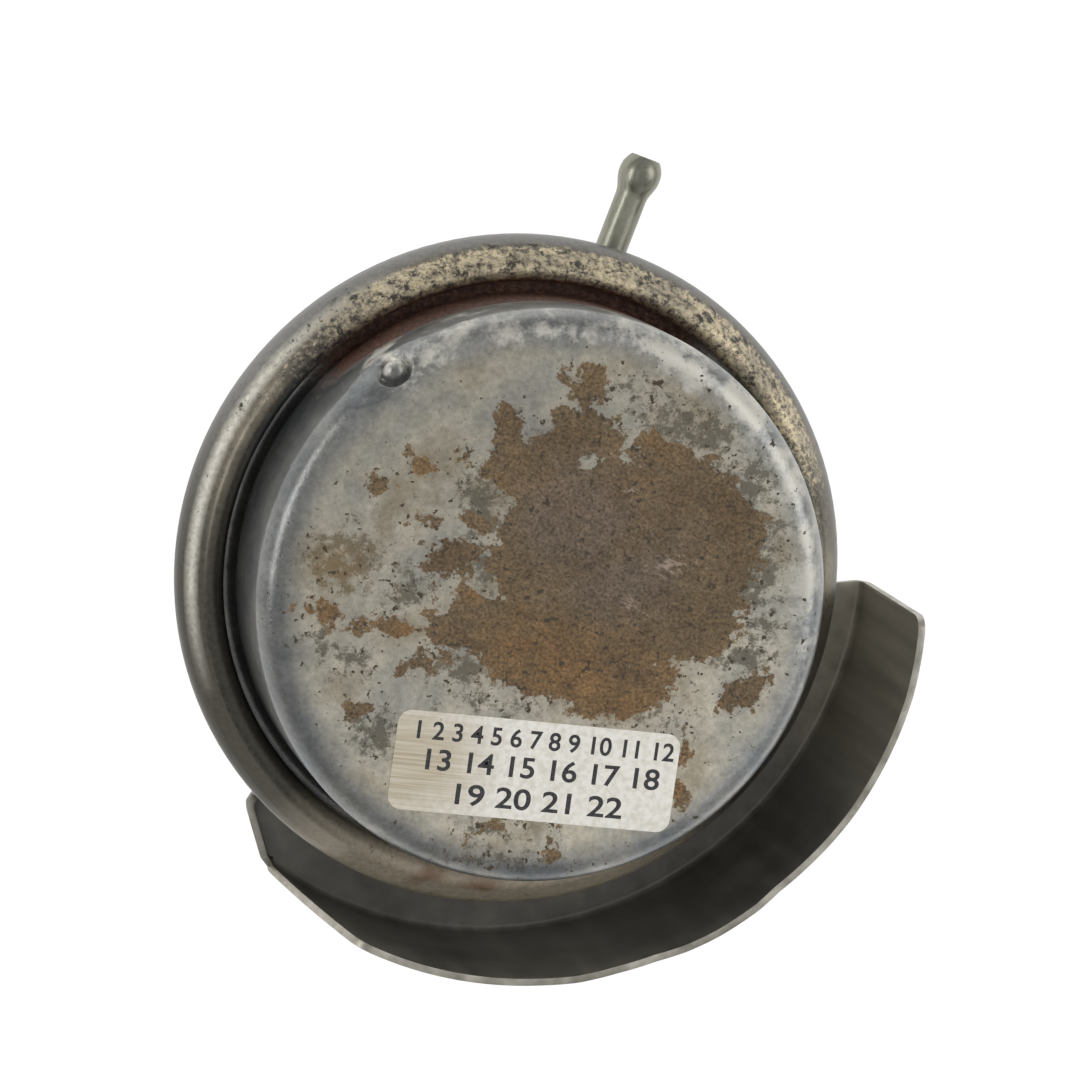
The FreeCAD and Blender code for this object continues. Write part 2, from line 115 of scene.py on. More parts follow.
# How deep a point lies in some oval patches, in about millimetres: 0 at an edge, less outside
def insidePatches(material, point, patches):
    deepest = None
    for x, y, halfX, halfY, turn in patches:
        local = addNode(
            material, "Mapping",
            {"Vector": point, "Location": (x, y, 0), "Rotation": (0, 0, math.radians(turn)),
             "Scale": (halfX, halfY, 1e4)},
            vector_type="TEXTURE",
        )[0]
        share = addNode(material, "VectorMath", {0: local}, operation="LENGTH")["Value"]
        half = min(halfX, halfY)
        depth = addNode(material, "Math", {0: share, 1: -half, 2: half}, operation="MULTIPLY_ADD")[0]
        if deepest:
            depth = addNode(material, "Math", {0: deepest, 1: depth}, operation="MAXIMUM")[0]
        deepest = depth
    return deepest


# How much a surface point faces one direction round the rod axis: 0 at begin degrees off it, 1 at full
def facingSide(material, place, angle, begin, full):
    side = (math.cos(math.radians(angle)), math.sin(math.radians(angle)), 0)
    share = addNode(material, "VectorMath", {0: place["around"], 1: side}, operation="DOT_PRODUCT")["Value"]
    return addNode(
        material, "MapRange", {0: share, 1: math.cos(math.radians(begin)), 2: math.cos(math.radians(full))}
    )[0]


# Ends a material: bump of a depth in millimetres, full or by share, then the shader and the output
def finishMaterial(material, inputs, height, depth, share=1.0):
    bump = addNode(material, "Bump", {"Height": height, "Distance": depth * mm, "Strength": share})
    inputs["Normal"] = bump[0]
    shader = addNode(material, "BsdfPrincipled", inputs)[0]
    addNode(material, "OutputMaterial", {"Surface": shader})
    return material


# The view: nearly down the rod axis, tilted about a level line
view = {
    "tilt": -16.2,
    "tiltAxis": (0.6, 0.8, 0.0),
    "distance": 525 * mm,
    "pixelsPerMm": 9.03,
    "frameSize": 1080,
    "beadHeight": 17.9 * mm,
    "beadCentrePx": (511.0, 571.5),
    "sensor": 36.0,
}


def addCamera():
    turn = Matrix.Rotation(math.radians(view["tilt"]), 3, Vector(view["tiltAxis"]))
    right = turn @ Vector((1, 0, 0))
    up = turn @ Vector((0, 1, 0))
    back = turn @ Vector((0, 0, 1))
    focal = view["pixelsPerMm"] / mm * view["distance"]
    half = view["frameSize"] / 2
    aside = right * (half - view["beadCentrePx"][0]) + up * (view["beadCentrePx"][1] - half)
    place = Vector((0, 0, view["beadHeight"])) + aside * mm / view["pixelsPerMm"] + back * view["distance"]
    data = bpy.data.cameras.new("camera")
    data.sensor_width = view["sensor"]
    data.lens = focal / view["frameSize"] * view["sensor"]
    data.clip_start = 0.01
    camera = bpy.data.objects.new("camera", data)
    bpy.context.scene.collection.objects.link(camera)
    camera.matrix_world = Matrix.Translation(place) @ Matrix((right, up, back)).transposed().to_4x4()
    bpy.context.scene.camera = camera


addCamera()
print("camera placed")


# Zinc-plated drawn steel, worn through and rusted in the open: the eye sees dull beige plating, bluish on the
# rolled shoulder, ragged brown rust with an ochre foot, dark crumbs and bright rubbed spots, which are worn
# plating and also painted highlight on the shoulder. The wall carries painted shade on one side, and the
# plating a painted
# light gradient. A patch is an oval: middle x and y, half length and half width in mm, turn in degrees. A
# noise is scale, detail, roughness
capFinish = {
    "rust": [
        (10.5, 6.5, 13.8, 9.4, 0), (1.6, 8.2, 7, 6.8, 0), (-1.4, 14.4, 5.2, 4.4, 0),
        (-1.2, 3.4, 6.4, 4.4, 0), (-5.2, -3.4, 7.6, 4.2, -16), (3, 18.2, 4.4, 3, 0),
        (2, -4.6, 11.6, 5.8, -12), (5, -8.6, 9.2, 4, -7), (15, -2, 6.6, 5.2, 15), (3.8, 21.6, 2.2, 3.2, 14),
        (14, 14.2, 7, 2.8, -12), (5.5, 17.6, 2.6, 2.2, 0), (-4.6, 18, 1.6, 3, 6), (-10.6, 5, 3.2, 2.1, -12),
        (-12.4, 2.4, 0.8, 1.4, 0), (-11.8, -3.4, 2.4, 0.8, -20), (-14.4, -6.6, 1.6, 1.4, 20),
        (-16.9, -1.8, 1.6, 1.4, -30), (-23.6, -0.5, 3.1, 0.9, -8), (-21.8, -2.4, 1.3, 0.7, 0),
        (-18.5, 13.2, 1.3, 0.8, 0), (-13.5, 15.3, 1.3, 0.6, -20), (-9.2, 16.2, 0.8, 0.9, 0),
        (-12.8, 9.4, 0.8, 0.5, 0), (-8.2, 8.8, 1.3, 0.7, -25), (22.2, -10.5, 2.8, 2.4, 35),
        (-20.8, -11.2, 0.8, 1, 0), (15, -15.4, 0.7, 1.5, 0), (15, -22, 0.6, 1, 10), (-6, -24.3, 1, 0.3, 45),
        (0.5, -25.6, 0.4, 0.9, 0),
    ],
    "stain": [
        (-22.4, 5, 4, 3.8, 0), (22.6, 4, 3.4, 7.5, 0), (23.6, -2.8, 2.6, 1.6, 0), (22.4, -6.2, 3.2, 2.2, 0),
        (-8.8, -7.4, 4.6, 2.2, -22), (-6.5, -11, 4.2, 1.2, -7), (-18.6, -13.8, 2.6, 2.8, 0),
        (-21.6, -5.8, 2.2, 1.6, 0), (-24.6, -3.2, 1.6, 1.8, 0), (-5.4, -28, 3.8, 1, -5),
        (15, 18.6, 7, 2.6, -20), (1.2, 16.8, 2.8, 2.4, 0), (-7.6, 10.5, 2.6, 4.4, 0),
        (-6.2, 4, 3.2, 2.2, 0), (9.5, 22.8, 2.6, 1.2, 0), (21.5, 12, 3.6, 3.6, -40),
        (10.5, -12.6, 4.4, 1.4, -7), (-15.5, 2, 3, 2, 0), (-5.5, -24.5, 2.5, 1.2, 0),
    ],
    "ochre": [(3, -7.8, 11, 4.2, -10), (-22.4, 3.5, 5, 4.8, 0)],
    "purple": [(3, 9, 7.5, 6.5, 0), (9, 2.5, 8, 4.5, 20)],
    # rubbed spots on the shoulder: worn plating, and also painted highlight where the shoulder catches light
    "rubbed": [
        (13.5, 26, 6.5, 1.6, -28), (21, 20.6, 4.6, 1.5, -45), (26.3, 13.6, 3.6, 1.2, -64),
        (28.6, 2, 0.9, 6, 0), (-1, 29, 6, 0.8, 0), (-17.2, 25.6, 1.7, 1.5, 0), (-13.6, 26.2, 2.6, 0.8, 35),
    ],
    "scratched": [(9, 11.8, 1.6, 1.3, 0), (13.5, 3.6, 2.6, 1.5, 0), (9, -0.8, 4.2, 0.9, -14)],
    "noises": {
        "coarse": (0.3, 8.0, 0.68), "fine": (1.7, 6.0, 0.72), "broad": (0.13, 5.0, 0.6),
        "speckle": (0.8, 7.0, 0.78), "crumbNoise": (1.25, 4.0, 0.55), "granules": (3.0, 3.0, 0.65),
    },
    # painted light and shade: the plating is lighter toward this direction and darker away from it
    "paintedLightToward": (0.002, -0.006, 0.0),
    # painted shade: the wall and shoulder are darker on the side facing this direction
    "paintedShadeSide": (215, 105, 45),  # direction in degrees, and how far off it the side begins and is full
    "wetSide": (92, 54, 24),
    "grainLength": 1.0,
    "grainWidth": 0.4,
    "grainTurn": -24,
    "relief": 0.26,
}


def makeCapSteel():
    finish = capFinish
    m = newMaterial("drawn steel, zinc worn through to rust")
    place = placesOn(m)
    point = place["point"]
    loose = wander(m, point, 4.5, 1.5, 5.0)
    coarse, fine, broad, speckle, crumbNoise, granules = [
        addNode(m, "TexNoise", {"Vector": point, "Scale": scale, "Detail": detail, "Roughness": rough})[0]
        for scale, detail, rough in finish["noises"].values()
    ]
    # Rolling left short dashes in the sheet, which the rust keeps
    turned = addNode(
        m, "Mapping",
        {"Vector": point, "Rotation": (0, 0, math.radians(finish["grainTurn"])),
         "Scale": (finish["grainLength"], finish["grainWidth"], 1.0)},
        vector_type="TEXTURE",
    )[0]
    dashes = addNode(m, "TexNoise", {"Vector": turned, "Scale": 1.0, "Detail": 4.0, "Roughness": 0.7})[0]

    # Masks, each a depth in patches made ragged by the same coarse and fine noise
    raggedness = addNode(m, "Math", {0: coarse, 1: 9.5, 2: -5.85}, operation="MULTIPLY_ADD")[0]
    raggedness = addNode(m, "Math", {0: fine, 1: 2.2, 2: raggedness}, operation="MULTIPLY_ADD")[0]

    def raggedMask(kind, begin, full, most=1.0):
        depth = insidePatches(m, loose, finish[kind])
        total = addNode(m, "Math", {0: depth, 1: raggedness}, operation="ADD")[0]
        return depth, addNode(m, "MapRange", {0: total, 1: begin, 2: full, 4: most})[0]

    rustDepth, rust = raggedMask("rust", -0.12, 0.25)
    stainDepth = insidePatches(m, loose, finish["stain"])
    stainReach = addNode(m, "MapRange", {0: stainDepth, 1: -1.6, 2: 1.8, 4: 0.2})[0]
    stainSum = addNode(m, "Math", {0: speckle, 1: stainReach}, operation="ADD")[0]
    stain = addNode(m, "MapRange", {0: stainSum, 1: 0.6, 2: 0.69, 4: 0.8})[0]
    ochre = raggedMask("ochre", -2.2, 3.4)[1]
    purple = raggedMask("purple", -1.5, 3.0, 0.75)[1]
    rubbed = raggedMask("rubbed", -0.5, 1.0)[1]
    scratchDepth = insidePatches(m, loose, finish["scratched"])
    scratchSum = addNode(m, "Math", {0: dashes, 1: 6.0, 2: scratchDepth}, operation="MULTIPLY_ADD")[0]
    scratched = addNode(m, "MapRange", {0: scratchSum, 1: 3.7, 2: 4.6, 4: 0.7})[0]
    # Dark crumbs of rust, thicker near the patches
    near = addNode(m, "Math", {0: rustDepth, 1: stainDepth}, operation="MAXIMUM")[0]
    near = addNode(m, "MapRange", {0: near, 1: -5.0, 2: 0.0, 4: 0.1})[0]
    crumbSum = addNode(m, "Math", {0: crumbNoise, 1: near}, operation="ADD")[0]
    crumbs = addNode(m, "MapRange", {0: crumbSum, 1: 0.715, 2: 0.745})[0]

    # Plating: beige on the face, greyer on the shoulder and wall
    onShoulder = addNode(m, "MapRange", {0: place["radius"], 1: 26.5, 2: 29.0})[0]
    face = addNode(m, "ValToRGB", {0: broad}, [(0.36, "#b3b0a6"), (0.5, "#c6c0b0"), (0.64, "#aea592")])[0]
    wall = addNode(m, "ValToRGB", {0: broad}, [(0.36, "#8a8e8f"), (0.64, "#adaca7")])[0]
    # Painted shade: the wall and shoulder are darker on the side facing 215 degrees
    paintedShadeSide = facingSide(m, place, *finish["paintedShadeSide"])
    paintedSideShade = addNode(m, "MapRange", {0: paintedShadeSide, 3: 1.05, 4: 0.66})[0]
    wall = addNode(m, "VectorMath", {0: wall, "Scale": paintedSideShade}, operation="SCALE")[0]
    plating = addNode(m, "Mix", {0: onShoulder, 6: face, 7: wall}, data_type="RGBA")[2]
    clouds = addNode(m, "Math", {0: coarse, 1: fine}, operation="ADD")[0]
    mottle = addNode(m, "MapRange", {0: clouds, 1: 0.7, 2: 1.3, 3: 0.66, 4: 1.26})[0]
    # Painted light and shade: the plating is lighter toward plus x and minus y and darker the other way
    paintedLightGradient = addNode(m, "VectorMath", {0: point, 1: finish["paintedLightToward"]}, operation="DOT_PRODUCT")["Value"]
    paintedLightGradient = addNode(m, "Math", {0: paintedLightGradient, 1: 1.0}, operation="ADD")[0]
    for shade in (mottle, paintedLightGradient):
        plating = addNode(m, "VectorMath", {0: plating, "Scale": shade}, operation="SCALE")[0]
    soil = addNode(m, "Mix", {0: ochre, 6: "#686357", 7: "#8a7657"}, data_type="RGBA")[2]
    plating = addNode(m, "Mix", {0: stain, 6: plating, 7: soil}, data_type="RGBA")[2]
    # Rubbed spots: worn plating, lightened also as painted highlight on the shoulder
    plating = addNode(m, "Mix", {0: rubbed, 6: plating, 7: "#cfccc2"}, data_type="RGBA")[2]

    # Rust: brown with purple and warm blooms, ochre at its foot, broken by dashes and dark grains
    brown = addNode(
        m, "ValToRGB", {0: broad},
        [(0.36, "#68543b"), (0.47, "#6f5d44"), (0.56, "#745f42"), (0.66, "#7e613e")],
    )[0]
    brown = addNode(m, "Mix", {0: purple, 6: brown, 7: "#6c5f51"}, data_type="RGBA")[2]
    warm = addNode(m, "ValToRGB", {0: broad}, [(0.36, "#6e573c"), (0.52, "#80633e"), (0.66, "#75593b")])[0]
    brown = addNode(m, "Mix", {0: ochre, 6: brown, 7: warm}, data_type="RGBA")[2]
    blotches = addNode(m, "MapRange", {0: coarse, 1: 0.34, 2: 0.66, 3: 0.8, 4: 1.22})[0]
    grain = addNode(m, "Math", {0: dashes, 1: 0.45, 2: granules}, operation="MULTIPLY_ADD")[0]
    grained = addNode(m, "MapRange", {0: grain, 1: 0.54, 2: 0.93, 3: 0.5, 4: 1.58})[0]
    for shade in (blotches, grained):
        brown = addNode(m, "VectorMath", {0: brown, "Scale": shade}, operation="SCALE")[0]
    brown = addNode(m, "Mix", {0: scratched, 6: brown, 7: "#b5a393"}, data_type="RGBA")[2]
    colour = addNode(m, "Mix", {0: rust, 6: plating, 7: brown}, data_type="RGBA")[2]
    colour = addNode(m, "Mix", {0: crumbs, 6: colour, 7: "#4a3f30"}, data_type="RGBA")[2]

    # Dark red rust low on the wall, where water stands in the gap
    wetSide = facingSide(m, place, *finish["wetSide"])
    low = addNode(m, "MapRange", {0: place["z"], 1: 30.0, 2: 25.5})[0]
    gap = addNode(m, "Math", {0: wetSide, 1: low}, operation="MULTIPLY")[0]
    gapEdge = addNode(m, "Math", {0: fine, 1: 0.8, 2: gap}, operation="MULTIPLY_ADD")[0]
    gapRust = addNode(m, "MapRange", {0: gapEdge, 1: 0.75, 2: 1.0})[0]
    red = addNode(m, "ValToRGB", {0: fine}, [(0.35, "#33211c"), (0.52, "#573a2e"), (0.68, "#80614a")])[0]
    colour = addNode(m, "Mix", {0: gapRust, 6: colour, 7: red}, data_type="RGBA")[2]

    dull = addNode(m, "Math", {0: rust, 1: gapRust}, operation="MAXIMUM")[0]
    dull = addNode(m, "Math", {0: dull, 1: crumbs}, operation="MAXIMUM")[0]
    clean = addNode(m, "MapRange", {0: onShoulder, 3: 1.0, 4: 0.82})[0]
    metallic = addNode(m, "Mix", {0: dull, 2: clean, 3: 0.0})[0]
    smooth = addNode(m, "MapRange", {0: onShoulder, 3: 0.4, 4: 0.24})[0]
    smooth = addNode(m, "Math", {0: fine, 1: 0.18, 2: smooth}, operation="MULTIPLY_ADD")[0]
    smooth = addNode(m, "Mix", {0: rubbed, 2: smooth, 3: 0.5})[0]
    rough = addNode(m, "Mix", {0: dull, 2: smooth, 3: 0.62})[0]
    # Relief: the rust is crusty, plating nearly flat
    crust = addNode(m, "MapRange", {0: dull, 3: 0.12, 4: 1.0})[0]
    inputs = {"Base Color": colour, "Metallic": metallic, "Roughness": rough}
    return finishMaterial(m, inputs, grain, finish["relief"], crust)


# Drawn steel that heat has browned: smooth grey at the belt, and gold and dark patina on the top side's
# slope, the gold kept to the top side as painted light. Painted shade darkens the lip and the left side,
# painted light lightens the bottom, and a painted highlight runs along the belt's upper left
crimpFinish = {
    # the top side: patina, and painted light where light falls on it
    "patinaAndLitSide": (76, 84, 46),
    # painted shade on the left side
    "paintedShadeLeftSide": (205, 62, 26),
    # painted light on the low side
    "paintedLightLowSide": (-92, 46, 20),
    # painted highlight: the side and, below, the radius of a bright line on the belt
    "paintedHighlightSide": (155, 46, 24),
    "wetSide": (92, 50, 22),
    "paintedHighlightRadius": 36.2,
    "browned": [(-9.5, -33.2, 2.2, 1.2, 10), (-3.5, -34.4, 2.4, 1.0, 0)],
}


def makeCanSteel():
    finish = crimpFinish
    m = newMaterial("drawn steel, browned by heat")
    place = placesOn(m)
    point = place["point"]
    fine = addNode(m, "TexNoise", {"Vector": point, "Scale": 1.7, "Detail": 6.0, "Roughness": 0.7})[0]
    broad = addNode(m, "TexNoise", {"Vector": point, "Scale": 0.16, "Detail": 5.0, "Roughness": 0.6})[0]
    topSide = facingSide(m, place, *finish["patinaAndLitSide"])
    belt = addNode(m, "MapRange", {0: place["radius"], 1: 36.2, 2: 37.1})[0]
    # The lip is darkened below as painted shade and a painted dark reflection
    lip = addNode(m, "MapRange", {0: place["radius"], 1: 34.2, 2: 33.1})[0]
    aboveBelt = addNode(m, "MapRange", {0: place["z"], 1: 15.5, 2: 16.5})[0]
    lip = addNode(m, "Math", {0: lip, 1: aboveBelt}, operation="MULTIPLY")[0]
    steel = addNode(m, "ValToRGB", {0: broad}, [(0.34, "#6c675d"), (0.5, "#7f796d"), (0.66, "#918979")])[0]
    # Painted shade: the crimp is darker on its left side
    paintedShadeLeft = facingSide(m, place, *finish["paintedShadeLeftSide"])
    # Painted light: the crimp is lighter and less metallic on its low side
    paintedLightLow = facingSide(m, place, *finish["paintedLightLowSide"])
    # A painted highlight: a bright line on the belt's upper left
    paintedHighlightSide = facingSide(m, place, *finish["paintedHighlightSide"])
    fromHighlight = addNode(m, "Math", {0: place["radius"], 1: finish["paintedHighlightRadius"]}, operation="SUBTRACT")[0]
    fromHighlight = addNode(m, "Math", {0: fromHighlight}, operation="ABSOLUTE")[0]
    paintedHighlightLine = addNode(m, "MapRange", {0: fromHighlight, 1: 0.1, 2: 0.75, 3: 0.85, 4: 0.0})[0]
    paintedHighlightLine = addNode(m, "Math", {0: paintedHighlightLine, 1: paintedHighlightSide}, operation="MULTIPLY")[0]
    # Grey belt, the lip darkened as painted shade and a dark reflection, painted shade on the left, painted
    # light at the bottom, then the painted highlight line
    layers = [(belt, "#858480"), (lip, "#66696b"), (paintedShadeLeft, "#545149"), (paintedLightLow, "#a79c89")]
    for share, tone in layers + [(paintedHighlightLine, "#dcd8cc")]:
        steel = addNode(m, "Mix", {0: share, 6: steel, 7: tone}, data_type="RGBA")[2]
    mottle = addNode(m, "MapRange", {0: fine, 1: 0.3, 2: 0.7, 3: 0.72, 4: 1.22})[0]
    steel = addNode(m, "VectorMath", {0: steel, "Scale": mottle}, operation="SCALE")[0]
    # Gold and dark patina in ragged spots on the slope; the gold, kept to the lit top side, is partly painted
    # light
    onSlope = addNode(m, "MapRange", {0: belt, 3: 1.0, 4: 0.0})[0]
    zone = addNode(m, "Math", {0: topSide, 1: onSlope}, operation="MULTIPLY")[0]
    zone = addNode(m, "Math", {0: zone, 1: aboveBelt}, operation="MULTIPLY")[0]
    goldSum = addNode(m, "Math", {0: fine, 1: 2.4, 2: zone}, operation="MULTIPLY_ADD")[0]
    gold = addNode(m, "MapRange", {0: goldSum, 1: 1.9, 2: 2.35})[0]
    warm = addNode(m, "ValToRGB", {0: broad}, [(0.38, "#bcb09a"), (0.52, "#e3d4b2"), (0.62, "#d3c5ae")])[0]
    colour = addNode(m, "Mix", {0: gold, 6: steel, 7: warm}, data_type="RGBA")[2]
    darkField = addNode(m, "TexNoise", {"Vector": point, "Scale": 0.75, "Detail": 6.0, "Roughness": 0.72})[0]
    darkSum = addNode(m, "Math", {0: zone, 1: 0.1, 2: darkField}, operation="MULTIPLY_ADD")[0]
    dark = addNode(m, "MapRange", {0: darkSum, 1: 0.62, 2: 0.7})[0]
    colour = addNode(m, "Mix", {0: dark, 6: colour, 7: "#413d35"}, data_type="RGBA")[2]
    brownField = insidePatches(m, wander(m, point, 3.0, 1.8, 5.0), finish["browned"])
    browned = addNode(m, "MapRange", {0: brownField, 1: -0.4, 2: 0.8, 4: 0.8})[0]
    colour = addNode(m, "Mix", {0: browned, 6: colour, 7: "#7d5f48"}, data_type="RGBA")[2]
    # Red rust inside the lip, on the top side
    inGap = facingSide(m, place, *finish["wetSide"])
    inside = addNode(m, "MapRange", {0: place["radius"], 1: 33.6, 2: 33.0})[0]
    redZone = addNode(m, "Math", {0: inGap, 1: inside}, operation="MULTIPLY")[0]
    redZone = addNode(m, "Math", {0: redZone, 1: aboveBelt}, operation="MULTIPLY")[0]
    red = addNode(m, "ValToRGB", {0: fine}, [(0.35, "#33211c"), (0.52, "#573a2e"), (0.7, "#86664a")])[0]
    colour = addNode(m, "Mix", {0: redZone, 6: colour, 7: red}, data_type="RGBA")[2]
    dull = addNode(m, "Math", {0: redZone, 1: dark}, operation="MAXIMUM")[0]
    dull = addNode(m, "Math", {0: dull, 1: paintedLightLow}, operation="MAXIMUM")[0]
    metallic = addNode(m, "MapRange", {0: dull, 3: 0.95, 4: 0.15})[0]
    rough = addNode(m, "MapRange", {0: fine, 1: 0.3, 2: 0.7, 3: 0.32, 4: 0.5})[0]
    relief = addNode(m, "Math", {0: fine, 1: zone}, operation="MULTIPLY")[0]
    relief = addNode(m, "Math", {0: broad, 1: 0.6, 2: relief}, operation="MULTIPLY_ADD")[0]
    return finishMaterial(m, {"Base Color": colour, "Metallic": metallic, "Roughness": rough}, relief, 0.1)


# Stainless sheet blackened by exhaust heat: dark grey, lighter warm grey toward the side facing -12 degrees
# as painted light, and faint upright streaks
shieldFinish = {"paintedLightRightSide": (-12, 26, 8), "streak": (2.2, 2.2, 30.0)}


def makeShieldSteel():
    m = newMaterial("stainless sheet, blackened by heat")
    place = placesOn(m)
    point = place["point"]
    streaked = addNode(
        m, "Mapping", {"Vector": point, "Scale": shieldFinish["streak"]}, vector_type="TEXTURE"
    )[0]
    streaks = addNode(m, "TexNoise", {"Vector": streaked, "Scale": 1.0, "Detail": 4.0})[0]
    broad = addNode(m, "TexNoise", {"Vector": point, "Scale": 0.07, "Detail": 3.0})[0]
    # Painted light: the side facing -12 degrees is lighter
    paintedLightRight = facingSide(m, place, *shieldFinish["paintedLightRightSide"])
    tone = addNode(m, "ValToRGB", {0: broad}, [(0.38, "#67655f"), (0.52, "#78766e"), (0.66, "#86827a")])[0]
    tone = addNode(m, "Mix", {0: paintedLightRight, 6: tone, 7: "#a09a8c"}, data_type="RGBA")[2]
    shade = addNode(m, "MapRange", {0: streaks, 1: 0.3, 2: 0.7, 3: 0.8, 4: 1.2})[0]
    tone = addNode(m, "VectorMath", {0: tone, "Scale": shade}, operation="SCALE")[0]
    rough = addNode(m, "MapRange", {0: streaks, 1: 0.3, 2: 0.7, 3: 0.38, 4: 0.52})[0]
    return finishMaterial(m, {"Base Color": tone, "Metallic": 0.35, "Roughness": rough}, broad, 0.6)


# The sheared edge of the same sheet: bright warm grey, burnished and torn in turns
def makeShearedEdge():
    m = newMaterial("stainless sheet, sheared edge")
    point = placesOn(m)["point"]
    torn = addNode(m, "TexNoise", {"Vector": point, "Scale": 0.35, "Detail": 5.0})[0]
    tone = addNode(m, "ValToRGB", {0: torn}, [(0.36, "#98948a"), (0.5, "#b1ada2"), (0.64, "#cac6bb")])[0]
    rough = addNode(m, "MapRange", {0: torn, 3: 0.28, 4: 0.6})[0]
    return finishMaterial(m, {"Base Color": tone, "Metallic": 1.0, "Roughness": rough}, torn, 0.05)


# Foil label: warm silver foil, printed cream, rubbed to brushed tan at its left end
labelFinish = {"rubbedEnd": (-15.5, -16.6, 9.0, 7.0, -7), "turn": -7.0}


def makeLabelFoil():
    m = newMaterial("printed foil label, rubbed")
    point = placesOn(m)["point"]
    brushed = addNode(
        m, "Mapping",
        {"Vector": point, "Rotation": (0, 0, math.radians(labelFinish["turn"])), "Scale": (9.0, 0.22, 1.0)},
        vector_type="TEXTURE",
    )[0]
    lines = addNode(m, "TexNoise", {"Vector": brushed, "Scale": 1.0, "Detail": 4.0})[0]
    fine = addNode(m, "TexNoise", {"Vector": point, "Scale": 1.6, "Detail": 5.0})[0]
    rubbedField = insidePatches(m, wander(m, point, 3.0, 1.5), [labelFinish["rubbedEnd"]])
    rubbed = addNode(m, "MapRange", {0: rubbedField, 1: -2.0, 2: 4.0})[0]
    cream = addNode(m, "ValToRGB", {0: fine}, [(0.34, "#e6e1d4"), (0.6, "#faf7ef")])[0]
    tan = addNode(m, "ValToRGB", {0: lines}, [(0.35, "#c6b99f"), (0.5, "#d6cbb4"), (0.65, "#e6ddca")])[0]
    tone = addNode(m, "Mix", {0: rubbed, 6: cream, 7: tan}, data_type="RGBA")[2]
    specks = addNode(m, "MapRange", {0: fine, 1: 0.72, 2: 0.76, 4: 0.7})[0]
    tone = addNode(m, "Mix", {0: specks, 6: tone, 7: "#8d8068"}, data_type="RGBA")[2]
    metallic = addNode(m, "MapRange", {0: rubbed, 3: 0.15, 4: 0.6})[0]
    return finishMaterial(m, {"Base Color": tone, "Metallic": metallic, "Roughness": 0.42}, fine, 0.02)


# Printing ink: flat blue-black, a little thin in places
def makePrintedInk():
    m = newMaterial("printing ink")
    thin = addNode(m, "TexNoise", {"Vector": placesOn(m)["point"], "Scale": 3.0, "Detail": 4.0})[0]
    tone = addNode(m, "ValToRGB", {0: thin}, [(0.4, "#2c2c33"), (0.7, "#4a4846")])[0]
    return finishMaterial(m, {"Base Color": tone, "Roughness": 0.6}, thin, 0.004)


# Plain metals differ in tone, gloss, the direction and size of their marks, and how far they have aged
plainMetals = {
    "hose_nipple": {
        "name": "drawn steel tube, dull", "tones": ("#7f7f73", "#a6a596"), "aged": "#77694f",
        "age": 0.3, "rough": (0.3, 0.42), "marks": (3.0, 3.0, 0.3), "depth": 0.01,
    },
    "push_rod": {
        "name": "ground steel rod", "tones": ("#a2a19d", "#c4c2bc"), "aged": "#86705a",
        "age": 0.3, "rough": (0.22, 0.34), "marks": (3.0, 3.0, 0.12), "depth": 0.01,
    },
    "mounting_studs": {
        "name": "rolled steel thread, yellow zinc", "tones": ("#a99b6e", "#cabf94"), "aged": "#6d5a40",
        "age": 0.45, "rough": (0.3, 0.45), "marks": (1.0, 1.0, 0.5), "depth": 0.02,
    },
    "stud_collars": {
        "name": "turned steel, oiled", "tones": ("#7e7c77", "#a19d95"), "aged": "#5d4c3c",
        "age": 0.5, "rough": (0.3, 0.44), "marks": (5.0, 5.0, 0.1), "depth": 0.02,
    },
    "guide_housing": {
        "name": "turned steel, heat-tinted", "tones": ("#7b766e", "#9a9388"), "aged": "#6a4f3a",
        "age": 0.5, "rough": (0.3, 0.45), "marks": (6.0, 6.0, 0.12), "depth": 0.02,
    },
    "plated": {
        "name": "pressed steel, clear zinc", "tones": ("#a7a9a8", "#c6c7c4"), "aged": "#8b8678",
        "age": 0.3, "rough": (0.3, 0.42), "marks": (1.5, 1.5, 1.5), "depth": 0.01,
    },
    "spring": {
        "name": "oil-tempered spring wire", "tones": ("#4a4a4c", "#6a696a"), "aged": "#5a4636",
        "age": 0.35, "rough": (0.32, 0.46), "marks": (2.5, 2.5, 0.4), "depth": 0.02,
    },
    "forged": {
        "name": "forged steel, blackened", "tones": ("#47443f", "#66615a"), "aged": "#6a4a35",
        "age": 0.5, "rough": (0.45, 0.65), "marks": (0.7, 0.7, 0.7), "depth": 0.12,
    },
    "bronze": {
        "name": "sintered bronze, oil-soaked", "tones": ("#8f6c3f", "#b28d55"), "aged": "#5d4328",
        "age": 0.4, "rough": (0.38, 0.55), "marks": (0.35, 0.35, 0.35), "depth": 0.05,
    },
}


